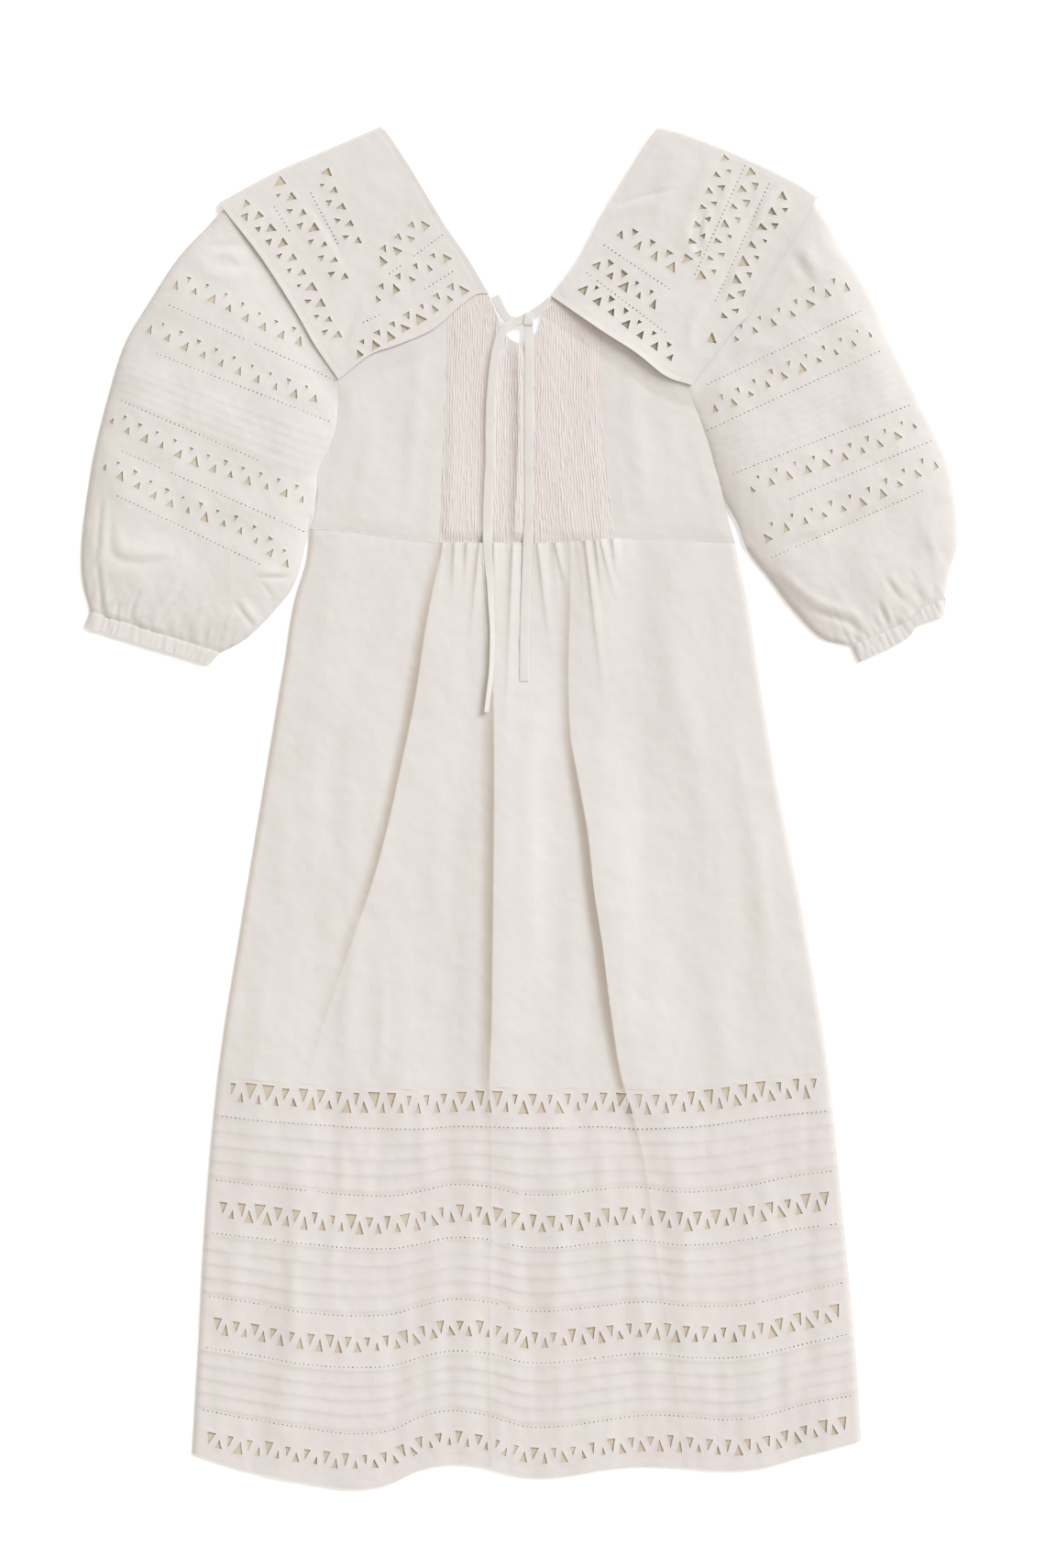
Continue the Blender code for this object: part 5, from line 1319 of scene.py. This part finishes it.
def cotton_material(name, tone, shade, weave=0.45, slub=0.3, bump=0.35, sheen=0.12, painted_shade_tint=NO_TINT):
    """Woven cotton: two crossing sets of threads, slubs, and a slow drift between two tones."""
    material = bpy.data.materials.new(name)
    material.use_nodes = True
    nodes, links = material.node_tree.nodes, material.node_tree.links
    shader = nodes["Principled BSDF"]
    shader.inputs["Metallic"].default_value = 0.0
    shader.inputs["Sheen Weight"].default_value = sheen
    shader.inputs["Sheen Roughness"].default_value = 0.5
    shader.inputs["Specular IOR Level"].default_value = 0.25
    where = nodes.new("ShaderNodeTexCoord").outputs["Object"]

    def noise(scale, detail, roughness=0.55):
        node = nodes.new("ShaderNodeTexNoise")
        node.inputs["Scale"].default_value = scale
        node.inputs["Detail"].default_value = detail
        node.inputs["Roughness"].default_value = roughness
        links.new(where, node.inputs["Vector"])
        return node.outputs["Fac"]

    def threads(direction):
        node = nodes.new("ShaderNodeTexWave")
        node.bands_direction = direction
        node.inputs["Scale"].default_value = 2 * math.pi / (20 * weave * MM)
        node.inputs["Distortion"].default_value = 1.6
        node.inputs["Detail"].default_value = 2.0
        node.inputs["Detail Scale"].default_value = 0.6
        links.new(where, node.inputs["Vector"])
        return node.outputs["Fac"]

    def maths(operation, a, b):
        node = nodes.new("ShaderNodeMath")
        node.operation = operation
        for socket, value in zip(node.inputs, (a, b)):
            if isinstance(value, (int, float)):
                socket.default_value = value
            else:
                links.new(value, socket)
        return node.outputs[0]

    def ramp(value, low, high, stops=(0.3, 0.7)):
        node = nodes.new("ShaderNodeValToRGB")
        for stop, at, colour in zip(node.color_ramp.elements, stops, (low, high)):
            stop.position = at
            stop.color = (*colour, 1.0)
        links.new(value, node.inputs["Fac"])
        return node.outputs["Color"]

    def multiplied(first, second):
        node = nodes.new("ShaderNodeMix")
        node.data_type = "RGBA"
        node.blend_type = "MULTIPLY"
        node.inputs["Factor"].default_value = 1.0
        links.new(first, node.inputs[6])
        links.new(second, node.inputs[7])
        return node.outputs[2]

    cloth_weave = maths("MAXIMUM", threads("X"), threads("Y"))
    blotches = maths("ADD", maths("MULTIPLY", noise(14, 3), 0.65), maths("MULTIPLY", noise(160, 4), 0.35))
    mixed = maths("ADD", maths("MULTIPLY", blotches, 0.88), maths("MULTIPLY", cloth_weave, 0.12))
    patches = ramp(noise(11, 2), (1.0, 0.985, 0.985), (0.985, 0.99, 0.975))
    tinted = multiplied(ramp(mixed, shade, tone), patches)
    # Painted shade: faces turned left, away from the key light, are tinted by the given colour
    facing = nodes.new("ShaderNodeSeparateXYZ")
    links.new(nodes.new("ShaderNodeNewGeometry").outputs["Normal"], facing.inputs["Vector"])
    leftwards = maths("MULTIPLY", facing.outputs["X"], -1.0)
    painted_shade_colour = multiplied(tinted, ramp(leftwards, NO_TINT, painted_shade_tint, (0.10, 0.45)))
    links.new(painted_shade_colour, shader.inputs["Base Color"])
    rough = ramp(noise(90, 3), (0.78,) * 3, (0.94,) * 3)
    links.new(rough, shader.inputs["Roughness"])
    height = maths("ADD", maths("MULTIPLY", cloth_weave, 1 - slub), maths("MULTIPLY", noise(420, 3), slub))
    bumps = nodes.new("ShaderNodeBump")
    bumps.inputs["Strength"].default_value = bump
    bumps.inputs["Distance"].default_value = 0.12 * MM
    links.new(height, bumps.inputs["Height"])
    links.new(bumps.outputs["Normal"], shader.inputs["Normal"])
    return material


# Camera, light and floor

def make_camera():
    camera = bpy.data.cameras.new("camera")
    camera.lens = CAMERA_LENS
    camera.sensor_width = CAMERA_SENSOR
    camera.clip_end = 50
    placed = bpy.data.objects.new("camera", camera)
    distance = FRAME_HEIGHT * CAMERA_LENS / CAMERA_SENSOR
    placed.location = (CAMERA_AIM[0] * MM, CAMERA_AIM[1] * MM, (distance + CAMERA_AIM[2]) * MM)
    bpy.context.scene.collection.objects.link(placed)
    bpy.context.scene.camera = placed


def make_light(name, place, spread, strength, colour):
    """A soft light from afar: its place gives only its direction, and its spread is in degrees."""
    light = bpy.data.lights.new(name, "SUN")
    light.angle = math.radians(spread)
    light.energy = strength
    light.color = colour
    placed = bpy.data.objects.new(name, light)
    placed.location = place
    placed.rotation_euler = (-Vector(place)).to_track_quat("-Z", "Y").to_euler()
    bpy.context.scene.collection.objects.link(placed)


def make_studio():
    world = bpy.data.worlds.new("studio")
    world.use_nodes = True
    sky = world.node_tree.nodes["Background"]
    sky.inputs["Color"].default_value = WORLD_COLOUR
    sky.inputs["Strength"].default_value = WORLD_STRENGTH
    bpy.context.scene.world = world
    make_light("key", *KEY_LIGHT)
    floor = bpy.data.meshes.new("floor")
    reach = FLOOR_REACH
    corners = [(-reach, -reach, 0), (reach, -reach, 0), (reach, reach, 0), (-reach, reach, 0)]
    floor.from_pydata(corners, [], [(0, 1, 2, 3)])
    material = bpy.data.materials.new("floor")
    material.use_nodes = True
    shader = material.node_tree.nodes["Principled BSDF"]
    shader.inputs["Base Color"].default_value = FLOOR_COLOUR
    shader.inputs["Roughness"].default_value = 0.9
    shader.inputs["Emission Color"].default_value = FLOOR_COLOUR
    shader.inputs["Emission Strength"].default_value = FLOOR_GLOW
    floor.materials.append(material)
    placed = bpy.data.objects.new("floor", floor)
    bpy.context.scene.collection.objects.link(placed)


OUTLINE_COLLAR_LEFT = collar_outline(COLLAR_LEFT)
OUTLINE_COLLAR_RIGHT = collar_outline(COLLAR_RIGHT)


def main():
    bpy.context.scene.view_settings.view_transform = "Standard"
    make_camera()
    make_studio()
    cotton = cotton_material("cotton", *PLAIN_TONES)
    # the skirt gets painted warm shade on the sides of its folds that face away from the light
    skirt = cotton_material("skirt_cotton", *PLAIN_TONES, painted_shade_tint=PAINTED_WARM_SHADE)
    border = cotton_material("border_cotton", *BORDER_TONES)
    smocked = cotton_material("smocked_cotton", *SMOCKED_TONES, bump=0.5)
    strap = cotton_material("tie_cotton", *TIE_TONES, weave=0.35)
    # painted shade: a tan material for the shade seen through the cutwork and under the collar
    inner = cotton_material("painted_shade_cotton", *PAINTED_SHADE_TONES)
    front, hem = make_skirt(skirt, border, inner)
    panel = make_bodice(cotton, smocked, inner)
    make_sleeve("left", SLEEVE_LEFT, OUTLINE_COLLAR_LEFT, SLEEVE_CREASES_LEFT, HEMSTITCH_SLEEVE_LEFT, 100,
                cotton, inner)
    make_sleeve("right", SLEEVE_RIGHT, OUTLINE_COLLAR_RIGHT, SLEEVE_CREASES_RIGHT, HEMSTITCH_SLEEVE_RIGHT,
                150, cotton, inner)
    make_collar("left", COLLAR_LEFT, COLLAR_LIFTS_LEFT, HEMSTITCH_COLLAR_LEFT, COLLAR_CREASES_LEFT, 200,
                cotton, inner)
    make_collar("right", COLLAR_RIGHT, COLLAR_LIFTS_RIGHT, HEMSTITCH_COLLAR_RIGHT, COLLAR_CREASES_RIGHT, 250,
                cotton, inner)
    tree = tree_of([front, hem, panel])
    left, left_path = make_tie("tie_left_strap", "tie_left", TIE_LEFT, tree, strap)
    tree = tree_of([front, hem, panel, left])
    right, right_path = make_tie("tie_right_strap", "tie_right", TIE_RIGHT, tree, strap)
    knot = make_knot(tree_of([left, right]), strap)


main()
